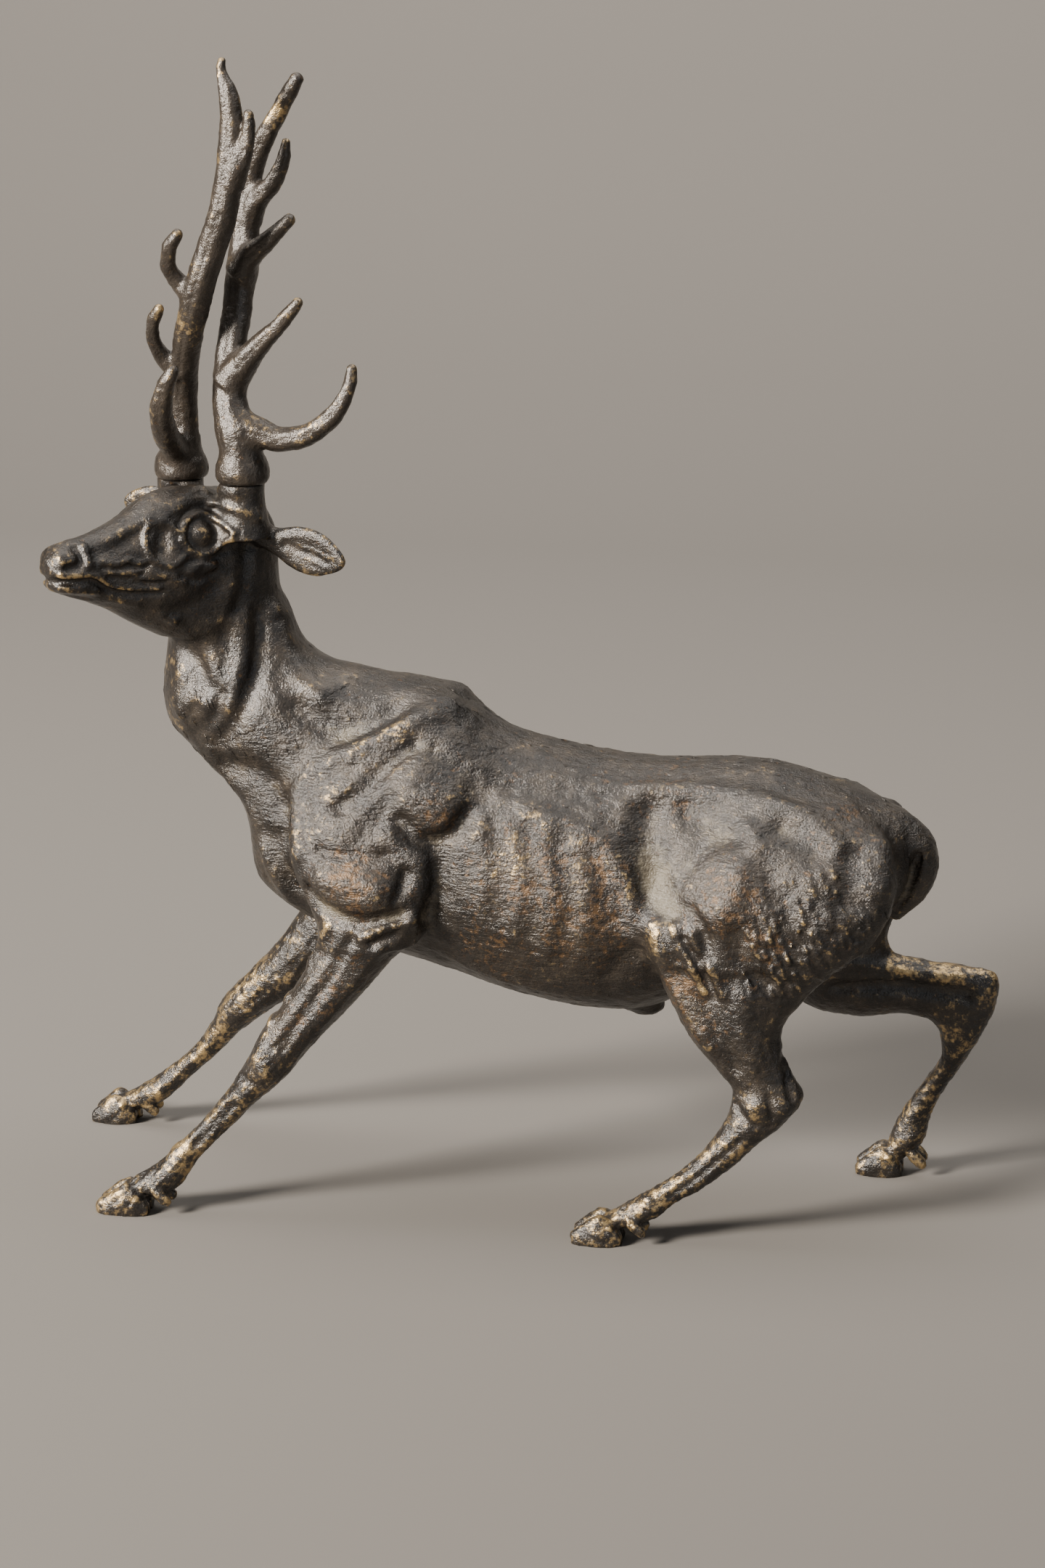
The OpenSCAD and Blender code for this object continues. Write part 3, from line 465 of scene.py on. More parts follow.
# Tear pit with its rolled rim, and the wrinkles under it
face_stroke([(10.6, -5), (10.9, -6.8)], 1.0, -1.1)
face_stroke([(8.2, -4.6), (10, -3), (12.2, -3.6), (13, -5.8), (12, -8.2), (9.8, -9), (8, -8)], 0.38, 0.6)
face_stroke([(7, -9.8), (5.6, -9), (4, -9.6)], 0.7, 0.6)
face_stroke([(8.6, -10.6), (6.4, -11.4), (3.6, -10.6)], 0.5, -0.4)
face_stroke([(12.6, -9.6), (10.4, -10.6), (8.2, -11.4)], 0.6, 0.45)
for f, u, run in ((19.4, -7.6, 3.6), (18.6, -9, 4.6), (15.6, -7.8, 2.6), (14.8, -10, 4.2)):
    face_stroke([(f, u), (f - run * 0.5, u - 0.5), (f - run, u - 0.2)], 0.38, 0.3)
    face_stroke([(f, u - 0.7), (f - run * 0.6, u - 1.2), (f - run, u - 0.9)], 0.34, -0.35)
face_stroke([(0.6, -13), (2.4, -17), (6, -19)], 1.6, 0.45)
face_stroke([(3.8, -12.4), (6.4, -14.6), (10, -16)], 1.4, -0.5)
face_stroke([(10.6, -16.2), (9, -17)], 0.8, 0.6)
face_stroke([(14.4, -14), (18, -13)], 0.7, 0.35)
face_stroke([(-1.8, -8), (-0.6, -12), (0.4, -16)], 1.1, -0.5)
# Nose pad, nostrils and lips
face_stroke([(25, -6.6)], 1.5, 0.5)
face_stroke([(22.6, -5.4), (22.2, -6.8), (23, -7.8), (24.4, -7.9)], 0.45, -1.5)
face_stroke([(21.4, -5.6), (21.2, -7.6)], 0.6, 0.45)
face_stroke([(25.4, -8.8), (22.3, -9.1), (20.2, -9.5), (18.4, -11), (15.4, -11.8), (11.6, -12.1)], 0.42, 0.42)
face_stroke([(25.8, -9.7), (23.6, -9.9), (21.2, -9.9), (19, -11.3), (15.4, -12.4), (11.2, -12.6)], 0.36, -1.2)
face_stroke([(25, -10.8), (22.6, -11.2), (20.2, -11.6)], 0.55, 0.6)
face_stroke([(23.8, -12.1), (20.6, -12.9)], 0.5, -0.35)
mouth = [(23.6, 2.8), (25.8, 1.6), (26.6, 0), (25.8, -1.6), (23.6, -2.8)]
touches.append((in_head([(f, l, -9.8) for f, l in mouth]), 0.42, -1.1))
touches.append((in_head([(f - 1.2, l, -10.9) for f, l in mouth]), 0.6, 0.45))

# Ears -------------------------------------------------------------------
# Leaf-shaped ears on short round roots, hollowed in front and pinned on.

EAR_ROOTS = {LEFT: in_head([-3.8, 6.5, -6.4]), RIGHT: in_head([-3.2, -8.1, -7])}
EAR_DIRECTIONS = {LEFT: unit(HEAD_AXES[1] * 10.5 - HEAD_AXES[0] * 5.6 - [0, 0, 2.4]),
                  RIGHT: unit(-HEAD_AXES[1] * 12 + HEAD_AXES[0] * 5.8 + [0, 0, 1.7])}
EAR_LENGTH = 13.0
EAR_STUB = 1.8
EAR_SPHERE = 8.0
ear_axes = {}
for side, direction in EAR_DIRECTIONS.items():
    height = unit(np.array([0, 0, 1.0]) - direction * direction[2])
    front = np.cross(direction, height) if side == LEFT else np.cross(height, direction)
    front = front if front @ HEAD_AXES[0] > 0 else -front
    ear_axes[side] = np.array([direction, height, front])
    root = EAR_ROOTS[side]
    leaf = [[root + direction * d, height * h, front * t] for d, h, t in (
        (-3.6, 1.5, 1.5), (-1, 1.6, 1.5), (1.2, 1.7, 1.4), (3, 2.1, 1.2), (5, 2.9, 1.05), (7.4, 3.25, 0.95),
        (9.6, 2.9, 0.8), (11.6, 1.9, 0.65), (12.6, 1.1, 0.5), (13.1, 0.4, 0.3))]
    forms.append((skin_over(leaf, sides=28), 0.8))
    cup = [root + direction * d + height * h + front * 1.25 for d, h in ((4.6, 0.2), (6, 0.1), (7.8, 0), (10, -0.3), (11.6, -0.2))]
    touches.append((np.array(cup), [0.7, 1.3, 1.7, 1.4, 0.7], -0.9))
    for d, h, length in ((4.6, 0.9, 3), (5.4, -0.6, 3.4), (8.6, 0.5, 2), (8.8, -0.9, 1.6)):
        tuft = [root + direction * (d + e * length) + height * (h - 0.4 * e) + front * 0.2 for e in (0, 1)]
        touches.append((np.array(tuft), 0.35, 0.35))

# The castings, each cut from the same worked clay at its own joint --------
FORE_SEAM_Z, HIND_SEAM_Z, FORE_SEAM_Y, HIND_SEAM_Y, TAIL_SEAM_X = 44, 46, 8.6, 6.5, 52.6
NECK_SEAM = np.array([-33.9, 0, 69.1])
NECK_NORMAL = unit([-12, 0, 24.8])
PEG_HOLE, PEG_IN_SKULL, PEG_IN_ANTLER = 1.25, 7.5, 5.0


def fore_region(side):
    return lambda x, y, z: np.maximum(np.maximum(z - FORE_SEAM_Z, FORE_SEAM_Y - side * y), x + 9.8)


def hind_region(side):
    heights, fronts = [0, 22, 26, 33, 46], [0, 0, 24.6, 21, 17.5] if side == LEFT else [0, 0, 30, 28, 18]
    return lambda x, y, z: np.maximum(np.maximum(z - HIND_SEAM_Z, HIND_SEAM_Y - side * y),
                                      0.8 * (np.interp(z, heights, fronts) - x))


def tail_region(x, y, z):
    seam = TAIL_SEAM_X - 0.35 * np.maximum(50 - z, 0)
    return np.maximum(np.maximum(seam - x, 40 - z), np.abs(y) - 4)


def head_region(x, y, z):
    return (x - NECK_SEAM[0]) * -NECK_NORMAL[0] + (z - NECK_SEAM[2]) * -NECK_NORMAL[2] + 0 * y


def ear_region(side):
    seam = EAR_ROOTS[side] + EAR_DIRECTIONS[side] * EAR_STUB
    middle = EAR_ROOTS[side] + EAR_DIRECTIONS[side] * (EAR_STUB + EAR_LENGTH) / 2
    d = EAR_DIRECTIONS[side]

    def region(x, y, z):
        beyond = (x - seam[0]) * d[0] + (y - seam[1]) * d[1] + (z - seam[2]) * d[2]
        reach = np.sqrt((x - middle[0]) ** 2 + (y - middle[1]) ** 2 + (z - middle[2]) ** 2)
        return np.maximum(-beyond, reach - EAR_SPHERE)
    return region


def only(region):
    return lambda x, y, z: region(x, y, z) - LAP


def without(region):
    return lambda x, y, z: -region(x, y, z) - LAP


def round_axis(side, x, y):
    return np.hypot(x - PEDICLES[side][0], y - PEDICLES[side][1])


def under_antler(side):
    """All but the space over the pedicle, and the peg's bore below it."""
    seat = PEDICLES[side][2]
    return lambda x, y, z: np.maximum(np.minimum(z - seat, 6 - round_axis(side, x, y)),
                                      np.minimum(PEG_HOLE - round_axis(side, x, y), z - seat + PEG_IN_SKULL))


def over_pedicle(side):
    """All above the pedicle but the peg's bore."""
    seat = PEDICLES[side][2]
    return lambda x, y, z: np.maximum(seat - z, np.minimum(PEG_HOLE - round_axis(side, x, y), seat + PEG_IN_ANTLER - z))


def noise(points, seed):
    """Smooth value noise, from -1 to 1, one swing to a unit."""
    lattice = np.random.default_rng(seed).random((48, 48, 48), dtype=np.float32) * 2 - 1
    cell = np.floor(points).astype(int)
    f = (points - cell).astype(np.float32)
    f = f * f * (3 - 2 * f)
    total = 0
    for corner in range(8):
        step = np.array([corner & 1, corner >> 1 & 1, corner >> 2 & 1])
        weight = np.prod(np.where(step, f, 1 - f), axis=1)
        i = (cell + step) % 48
        total = total + weight * lattice[i[:, 0], i[:, 1], i[:, 2]]
    return total


def softened(field, times):
    for _ in range(times):
        for axis in range(3):
            field = np.moveaxis(field, axis, 0)
            spread = field.copy()
            spread[1:-1] = 0.5 * field[1:-1] + 0.25 * (field[:-2] + field[2:])
            field = np.moveaxis(spread, 0, axis)
    return field


def sampled(field, places):
    """The field's value at places given in cells."""
    base = np.clip(np.floor(places).astype(int), 0, np.array(field.shape) - 2)
    f = places - base
    total = 0
    for corner in range(8):
        step = np.array([corner & 1, corner >> 1 & 1, corner >> 2 & 1])
        i = base + step
        total = total + np.prod(np.where(step, f, 1 - f), axis=1) * field[i[:, 0], i[:, 1], i[:, 2]]
    return total


# Patches: where polish has worn through, rust-brown has set in, and
# dust has stayed. Each is (x, y, z), radius, strength.
rub_patches = [
    ((-50.6, -6, 68), 3.4, 1), ((-49, -5, 75), 3, 0.9), ((-16.4, -10, 69.2), 3, 0.8), ((-20, -9, 67.4), 2.4, 0.8),
    ((-28.6, -14, 55), 3.6, 0.75), ((-27, -14, 61.5), 3.6, 0.6), ((-24.4, -17, 42.5), 3.6, 0.6),
    ((2, -15, 56), 6, 0.5), ((8, -15, 54), 5, 0.5), ((-2, -14, 60), 5, 0.4), ((17, -14, 49), 3, 0.5),
    ((21, -16, 44), 2.6, 0.8), ((28, -17, 37), 2.6, 0.75), ((51, -8, 52), 3.4, 0.7), ((49, -10, 56), 2.8, 0.5),
    ((-38, -18, 16), 7, 0.75), ((-46, -18, 8), 6, 0.85), ((-54, -18, 3), 5, 0.85), ((-33, -17, 24), 4, 0.5),
    ((-42, 15, 24), 7, 0.95), ((-50, 16, 15), 8, 1), ((-60, 17, 5), 7, 0.9), ((-36, 13, 32), 5, 0.7),
    ((30, -17, 15), 5, 0.8), ((23, -17, 8), 5, 0.95), ((14, -18, 3), 5, 0.9), ((35, -17, 20), 3, 0.5),
    ((52, 13, 33), 4, 0.95), ((58, 14, 32), 4, 1), ((64, 14, 30), 4, 0.95), ((60, 14, 20), 6, 0.85), ((55, 15, 11), 6, 0.95),
    ((50, 15, 3), 5, 0.8), ((-60.5, -20, 92.5), 3, 0.5)]
for side, places in ((LEFT, [((4.3, 6.8, 49.4), 2.6, 1), ((1, -0.6, 8), 3.6, 0.75), ((9, -2, 8), 3.6, 0.6), ((15, -2, 14), 3, 0.4)]),
                     (RIGHT, [((3, -7, 22.4), 2.6, 1.1), ((5, -8.4, 30.8), 2, 0.7), ((7, -8, 46), 2, 1), ((-1, -9, 9), 3.4, 0.6)])):
    rub_patches += [(PEDICLES[side] + place, radius, strength) for place, radius, strength in places]
rust_patches = [
    ((2, -15, 50), 8, 0.8), ((10, -15, 44), 9, 0.9), ((0, -14, 38), 8, 0.6), ((12, -14, 52), 6, 0.8), ((-20, -17, 49), 6, 0.9),
    ((-9, -15, 59), 4, 0.7), ((31, -16, 49), 6, 0.95), ((34, -16, 45), 5, 0.8), ((42, -13, 52), 4, 0.6),
    ((24, -17, 36), 5, 0.9), ((26, -17, 32), 4, 0.9), ((46, -8, 59), 6, 0.5), ((20, -6, 62), 7, 0.45), ((-24, -17, 35), 5, 0.5),
    ((-30, -16, 29), 5, 0.5), ((5, 14, 48), 9, 0.7), ((33, 15, 48), 8, 0.8), ((-18, 15, 50), 7, 0.8)]
dust_patches = [
    ((-44, -4, 101), 3.2, 1), ((-48.5, -8, 99), 4, 0.8), ((-54, -12, 96.5), 3.5, 0.6), ((20, -13, 52), 6, 0.9), ((22, -14, 48), 4, 1),
    ((-22, -9, 67.6), 4, 0.5), ((-24, -15, 45), 4, 0.6), ((-14, -15, 44.5), 3, 0.7), ((54, -4, 47), 4, 0.7),
    ((20, 13, 52), 6, 0.9), ((-8, -12, 66), 6, 0.4), ((30, -10, 57), 8, 0.4), ((-12, -14, 40), 5, 0.5)]


def patches(points, rows):
    mask = np.zeros(len(points))
    for centre, radius, strength in rows:
        mask = np.maximum(mask, strength * np.exp(-((points - np.array(centre)) ** 2).sum(1) / radius**2))
    return mask


# Lie of the coat: streak direction and where it rules (centre, radius)
coat_lies = [((0.93, 0, -0.36), (14, 56), 34), ((0.42, 0, -0.9), (-20, 52), 17), ((0.25, 0, -0.96), (-40, 76), 18),
             ((0.5, 0, -0.86), (36, 42), 17), ((-0.62, 0, -0.78), (-40, 20), 18), ((0.72, 0, -0.7), (-52, 92), 15)]


def coat(points):
    """Height of the chased coat, and the way it lies, at each point."""
    weights = [np.exp(-((points[:, 0] - x) ** 2 + (points[:, 2] - z) ** 2) / r**2) + 1e-6 for _, (x, z), r in coat_lies]
    total = sum(weights)
    height, way = 0, sum(w[:, None] * np.array(lie) for w, (lie, _, _) in zip(weights, coat_lies)) / total[:, None]
    for n, ((lie, _, _), weight) in enumerate(zip(coat_lies, weights)):
        lie = unit(lie)
        along = points @ lie
        across = points - along[:, None] * lie
        streak = noise((across / 0.5 + (along / 2.2)[:, None] * lie), 11 + n)
        height = height + streak * (weight / total) ** 2
    return height, way


def new_mesh(name, points, faces):
    mesh = bpy.data.meshes.new(name)
    mesh.vertices.add(len(points))
    mesh.vertices.foreach_set("co", np.asarray(points, np.float32).ravel())
    mesh.loops.add(faces.size)
    mesh.loops.foreach_set("vertex_index", np.asarray(faces, np.int32).ravel())
    mesh.polygons.add(len(faces))
    mesh.polygons.foreach_set("loop_start", np.arange(len(faces), dtype=np.int32) * faces.shape[1])
    mesh.update(calc_edges=True)
    mesh.polygons.foreach_set("use_smooth", np.ones(len(faces), bool))
    mesh.update()
    made = bpy.data.objects.new(name, mesh)
    bpy.context.scene.collection.objects.link(made)
    return made


def largest_island(points, faces):
    """The biggest connected part of a mesh; crumbs left by a cut fall away."""
    island = np.arange(len(points))
    edges = np.vstack([faces[:, [0, 1]], faces[:, [1, 2]], faces[:, [2, 3]]]).astype(int)
    while True:
        lowest = np.minimum(island[edges[:, 0]], island[edges[:, 1]])
        joined = island.copy()
        for end in (0, 1):
            np.minimum.at(joined, island[edges[:, end]], lowest)
        joined = np.minimum(joined, joined[joined])
        joined = joined[joined]
        if (joined == island).all():
            break
        island = joined
    kept = island == np.bincount(island).argmax()
    number = np.cumsum(kept) - 1
    return points[kept], number[faces[kept[faces[:, 0]]]].astype(np.uint32)


def cast(name, clay, chase=0.12, pits=0.09):
    """Turns the clay into a closed bronze mesh, with chased coat, wear and dust marked on it."""
    cell = clay.cell
    for axis in range(3):
        for end in (0, -1):
            np.moveaxis(clay.field, axis, 0)[end] = REACH
    grid = openvdb.FloatGrid(2 * cell)
    grid.copyFromArray(np.clip(clay.field, -2 * cell, 2 * cell))
    points, quads = largest_island(*grid.convertToQuads())
    places = points.astype(float)
    local = clay.low + places * cell
    world = clay.world(local)
    proud = sampled(clay.proud, places)
    sunk = sampled(clay.sunk, places / 2)
    made = new_mesh(name, world, quads[:, ::-1])
    normals = np.empty(len(points) * 3, np.float32)
    made.data.vertex_normals.foreach_get("vector", normals)
    normals = normals.reshape(-1, 3).astype(float)
    # the grid's quads may face inwards; a solid has a positive volume
    corners = world[quads[:, ::-1]]
    volume = np.einsum("ij,ij->", corners[:, 0], np.cross(corners[:, 1], corners[:, 2]))
    if volume < 0:
        made.data.flip_normals()
        normals = -normals
    fur, lie = coat(world)
    lumps = noise(world / 1.7, 3)
    grain = noise(world / 0.5, 4)
    worked = world + normals * (chase * fur + pits * (lumps + 0.6 * grain))[:, None]
    worked[:, 2] = np.maximum(worked[:, 2], 0)
    made.data.vertices.foreach_set("co", ((worked + STATION_SHIFT) * MM).astype(np.float32).ravel())
    for label, values in (("proud", proud * 4.5 + fur * 0.14), ("sunk", -sunk * 1.6 - fur * 0.1),
                          ("rub", patches(world, rub_patches)), ("rust", patches(world, rust_patches)),
                          ("dust", patches(world, dust_patches))):
        attribute = made.data.attributes.new(label, "FLOAT", "POINT")
        attribute.data.foreach_set("value", np.asarray(values, np.float32))
    made.data.attributes.new("lie", "FLOAT_VECTOR", "POINT").data.foreach_set("vector", np.asarray(lie, np.float32).ravel())
    made.data.update()
    print(name, len(made.data.polygons) * 2, "triangles")
    return made


def worked_clay(low, high, cell, regions, origin=(0, 0, 0), axes=np.eye(3)):
    clay = Clay(low, high, cell * COARSE, origin, axes)
    for form, blend in forms:
        clay.add(form, blend)
    for path, width, height in touches:
        clay.touch(path, width, height)
    clay.measure()
    for region in regions:
        clay.keep(region)
    return clay


body_cuts = [without(head_region), without(tail_region)]
body_cuts += [without(region(side)) for side in BOTH for region in (fore_region, hind_region)]
castings = {
    "torso": cast("stag_torso", worked_clay((-48, -20, 24), (56, 20, 80), 0.395, body_cuts)),
    "foreleg_left": cast("stag_foreleg_left", worked_clay((-60, -23, -1), (-7, -6, 46), 0.24, [only(fore_region(LEFT))])),
    "foreleg_right": cast("stag_foreleg_right", worked_clay((-70, 6, -1), (-7, 23, 46), 0.26, [only(fore_region(RIGHT))])),
    "hindleg_left": cast("stag_hindleg_left", worked_clay((7, -23, -1), (56, -4, 48), 0.26, [only(hind_region(LEFT))])),
    "hindleg_right": cast("stag_hindleg_right", worked_clay((15, 4, -1), (69, 22, 48), 0.28, [only(hind_region(RIGHT))])),
    "tail": cast("stag_tail", worked_clay((46, -6, 39), (60, 6, 62), 0.22, [only(tail_region)])),
    "neck_and_head": cast("stag_head", worked_clay(
        (-22, -16, -42), (30, 20, 4), 0.237,
        [only(head_region), without(ear_region(LEFT)), without(ear_region(RIGHT)), under_antler(LEFT), under_antler(RIGHT)],
        CROWN, HEAD_AXES), 0.05, 0.03),
}
for side, name in ((LEFT, "ear_left"), (RIGHT, "ear_right")):
    castings[name] = cast("stag_" + name, worked_clay((0.5, -6, -3.5), (15, 6, 3.5), 0.16, [only(ear_region(side))],
                                                       EAR_ROOTS[side], ear_axes[side]), 0.03, 0.03)

# Antlers ----------------------------------------------------------------
# Two antlers cast on their own. Each stands on a coronet over its pedicle
# and swivels on a steel peg. Handling has rubbed the tines to brass.


def limb(points, radii, flat=1.0, steps=6):
    """A round bar along a smooth curve of points, closed at both ends."""
    points = np.asarray(points, float)
    ways = [unit(points[min(i + 1, len(points) - 1)] - points[max(i - 1, 0)]) for i in range(len(points))]
    rings, side = [], np.cross(ways[0], [0.1, 0.9, 0.35])
    for point, way, radius in zip(points, ways, np.broadcast_to(radii, len(points))):
        side = unit(side - way * (side @ way))
        rings.append([point, side * radius, np.cross(way, side) * radius * flat])
    tip = ways[-1] * rings[-1][1:][0].dot(rings[-1][1]) ** 0.5
    rings.append([points[-1] + tip * 0.6, rings[-1][1] * 0.75, rings[-1][2] * 0.75])
    rings.append([points[-1] + tip * 0.95, rings[-1][1] * 0.3, rings[-1][2] * 0.3])
    return skin_over(rings, steps, 20)


coronet = [(-0.6, 3.1), (0, 3.3), (0.6, 3.65), (1.5, 3.7), (2.6, 3.5), (3.4, 3), (4.2, 2.6), (5.4, 2.5)]
antlers = {
    LEFT: [
        ([(0, 0, 3), (-0.4, 0, 5.4), (-1.2, 0.4, 8), (-2.1, 1.8, 12), (-2.2, 3.6, 17), (-1.7, 5.6, 22.5), (-1.3, 6.8, 27.7),
          (-1, 8, 32.4), (-0.7, 8.6, 37), (0.1, 8.4, 41.8), (2.4, 7.6, 46.3), (4.8, 6.9, 50.2), (6.8, 6.4, 53.6)],
         (2.7, 2.8, 2.7, 2.3, 2.15, 2.1, 2.15, 2, 2, 1.75, 1.45, 1.25, 0.95)),
        ([(-1.2, 0, 6.4), (1.5, -0.3, 7.2), (5.4, -1, 6.3), (9.7, -1.6, 7.3), (13.4, -1.8, 10.4), (15.2, -1.6, 13.8), (15.6, -1.4, 16.2)],
         (2.4, 2.2, 1.75, 1.55, 1.35, 1.05, 0.75)),
        ([(-2, 1.6, 13), (-0.2, 1.2, 15.6), (3, 0.2, 19.2), (6.2, -0.5, 22.4), (8.1, -0.6, 24.8)], (2.4, 2.1, 1.45, 1.1, 0.75)),
        ([(-1.2, 6, 27.4), (0.4, 5.2, 30), (3.4, 4, 32.6), (6.2, 3.6, 35.3)], (2.1, 1.7, 1.25, 0.85)),
        ([(-0.4, 8.2, 34.6), (1, 7.4, 37.4), (3.2, 6.6, 39.6), (4.8, 6.2, 42.6), (5.3, 6, 45.2)], (1.8, 1.6, 1.35, 1.05, 0.6))],
    RIGHT: [
        ([(0, 0, 3), (0.4, 0, 5.4), (0.6, -0.2, 8.5), (0.8, -0.8, 12), (1.6, -2.9, 16.5), (2.6, -4.8, 20.5), (3.9, -6.2, 24.5),
          (5.2, -7.1, 28.6), (6.7, -7.2, 32.8), (8.2, -7.6, 36.8), (9.1, -7.6, 41), (9.6, -7.6, 45), (9.8, -7.5, 49.2),
          (9.4, -7.3, 53.4), (8.4, -7, 56.2), (8.5, -7, 57.6)],
         (2.3, 2.2, 2.05, 2, 2, 2.05, 2.15, 2.1, 2.1, 2.05, 2, 1.9, 1.7, 1.35, 0.8, 0.5)),
        ([(0.3, -0.6, 3.4), (0, -2.8, 4.4), (-0.5, -6.2, 7.2), (-0.4, -8.6, 11), (0.6, -9.9, 14.4), (1.8, -10.2, 16.6)],
         (1.9, 1.75, 1.8, 1.65, 1.35, 0.9)),
        ([(1, -2.6, 15), (-0.9, -3.2, 16.6), (-2.2, -4.6, 19.4), (-2, -5.8, 22.2), (-0.9, -6.6, 24.2)], (1.6, 1.3, 1.05, 1, 0.75)),
        ([(3.8, -6, 26), (2.2, -6.4, 27.6), (0.8, -7.4, 30), (1.2, -8.6, 32.8), (2.5, -9.2, 34.8)], (1.7, 1.35, 1.15, 1.1, 0.8)),
        ([(9.8, -7.8, 41.6), (11.4, -8.4, 44.8), (12.4, -8.7, 48.4), (12.4, -8.7, 50.8)], (1.7, 1.3, 1, 0.65))]}
for side, name in ((LEFT, "antler_left"), (RIGHT, "antler_right")):
    seat = PEDICLES[side]
    base = [[seat + [0, 0, z], [r, 0, 0], [0, r, 0]] for z, r in coronet]
    parts = [(skin_over(base, sides=32), 0.6)]
    for number, (points, radii) in enumerate(antlers[side]):
        parts.append((limb(seat + np.array(points), radii), 1.2 if number < 2 else 0.9))
    reach = np.array([p for points, _ in antlers[side] for p in points])
    clay = Clay(seat + reach.min(0) - 4.2, seat + reach.max(0) + 4.2, 0.24 * COARSE)
    for form, blend in parts:
        clay.add(form, blend)
    for points, radii in antlers[side]:
        for turn in (0.3, 1.7, 3.2, 4.6):
            groove = [seat + np.array(p) + r * np.array([math.cos(turn), math.sin(turn), 0]) for p, r in zip(points, radii)][1:-1]
            clay.touch(groove, 0.45, -0.16)
    clay.measure()
    clay.keep(over_pedicle(side))
    castings[name] = cast("stag_" + name, clay, 0.02, 0.08)

# Patina -----------------------------------------------------------------
# Brown-black patina over bronze. It has worn through to brass on edges and
# handled places, set rust-brown in patches, and holds dust in its hollows.


def new_group(name, inputs, outputs):
    group = bpy.data.node_groups.new(name, "ShaderNodeTree")
    for label, kind, value in inputs:
        socket = group.interface.new_socket(label, in_out="INPUT", socket_type=kind)
        socket.default_value = value
    for label, kind in outputs:
        group.interface.new_socket(label, in_out="OUTPUT", socket_type=kind)
    return group


class Wiring:
    """Adds nodes to a tree and joins them."""

    def __init__(self, tree):
        self.tree = tree

    def node(self, kind, **settings):
        made = self.tree.nodes.new(kind)
        for name, value in settings.items():
            setattr(made, name, value)
        return made

    def put(self, socket, value):
        if isinstance(value, bpy.types.NodeSocket):
            self.tree.links.new(value, socket)
        else:
            socket.default_value = value

    def math(self, operation, *values, clamp=False):
        made = self.node("ShaderNodeMath", operation=operation, use_clamp=clamp)
        for socket, value in zip(made.inputs, values):
            self.put(socket, value)
        return made.outputs[0]

    def mix(self, share, a, b):
        made = self.node("ShaderNodeMix", data_type="RGBA")
        for socket, value in zip((made.inputs[0], made.inputs[6], made.inputs[7]), (share, a, b)):
            self.put(socket, value)
        return made.outputs[2]

    def step(self, value, low, high):
        """0 at or below low and 1 at or above high, smoothly."""
        made = self.node("ShaderNodeMapRange", interpolation_type="SMOOTHSTEP")
        self.put(made.inputs["Value"], value)
        made.inputs["From Min"].default_value, made.inputs["From Max"].default_value = low, high
        return made.outputs["Result"]

    def speckle(self, scale, detail, rough, stretch=(1, 1, 1)):
        place = self.node("ShaderNodeTexCoord").outputs["Object"]
        if stretch != (1, 1, 1):
            mapping = self.node("ShaderNodeMapping")
            self.put(mapping.inputs["Vector"], place)
            mapping.inputs["Scale"].default_value = stretch
            mapping.inputs["Rotation"].default_value = (0, 0.4, 0)
            place = mapping.outputs[0]
        made = self.node("ShaderNodeTexNoise")
        self.put(made.inputs["Vector"], place)
        made.inputs["Scale"].default_value = scale
        made.inputs["Detail"].default_value = detail
        made.inputs["Roughness"].default_value = rough
        return made.outputs["Fac"]

    def mark(self, label):
        return self.node("ShaderNodeAttribute", attribute_name=label).outputs["Fac"]


patina = new_group(
    "patina_layers",
    [("Patina", "NodeSocketColor", (0.011, 0.009, 0.0075, 1)), ("Brass", "NodeSocketColor", (0.46, 0.32, 0.15, 1)),
     ("Rust", "NodeSocketColor", (0.15, 0.08, 0.03, 1)), ("Dust", "NodeSocketColor", (0.13, 0.105, 0.065, 1)),
     ("Wear", "NodeSocketFloat", 0.0)],
    [("Color", "NodeSocketColor"), ("Metal", "NodeSocketFloat"), ("Roughness", "NodeSocketFloat"), ("Height", "NodeSocketFloat")])
wire = Wiring(patina)
given, shown = wire.node("NodeGroupInput"), wire.node("NodeGroupOutput")
proud, sunk = wire.mark("proud"), wire.mark("sunk")
blotch, spot, fine = wire.speckle(260, 4, 0.62), wire.speckle(1100, 5, 0.68), wire.speckle(3600, 3, 0.6)
broken = wire.math("ADD", wire.math("MULTIPLY", wire.math("SUBTRACT", blotch, 0.5), 1.3),
                   wire.math("MULTIPLY", wire.math("SUBTRACT", spot, 0.5), 2.4))
edge = wire.math("ADD", wire.math("MULTIPLY", proud, 0.5), wire.math("MULTIPLY", wire.mark("rub"), 0.5))
worn = wire.step(wire.math("ADD", wire.math("ADD", edge, given.outputs["Wear"]), broken), 0.36, 0.95)
rusty = wire.math("ADD", wire.math("MULTIPLY", wire.mark("rust"), 0.5), wire.math("MULTIPLY", broken, -0.9))
rusty = wire.math("MULTIPLY", wire.step(rusty, 0.25, 0.8), 0.75)
dusty = wire.math("ADD", wire.math("MULTIPLY", sunk, 0.4), wire.math("MULTIPLY", wire.mark("dust"), 0.55))
dusty = wire.math("MULTIPLY", wire.step(wire.math("ADD", dusty, wire.math("MULTIPLY", broken, 0.4)), 0.3, 0.8), 0.7)
mixed = wire.math("ADD", wire.math("MULTIPLY", blotch, 0.5), wire.math("MULTIPLY", wire.math("ADD", spot, fine), 0.25))
mottled = wire.mix(wire.step(mixed, 0.4, 0.7), given.outputs["Patina"], (0.058, 0.044, 0.031, 1))
colour = wire.mix(rusty, mottled, given.outputs["Rust"])
colour = wire.mix(worn, colour, given.outputs["Brass"])
colour = wire.mix(dusty, colour, given.outputs["Dust"])
wire.put(shown.inputs["Color"], colour)
clear = wire.math("SUBTRACT", 1.0, dusty)
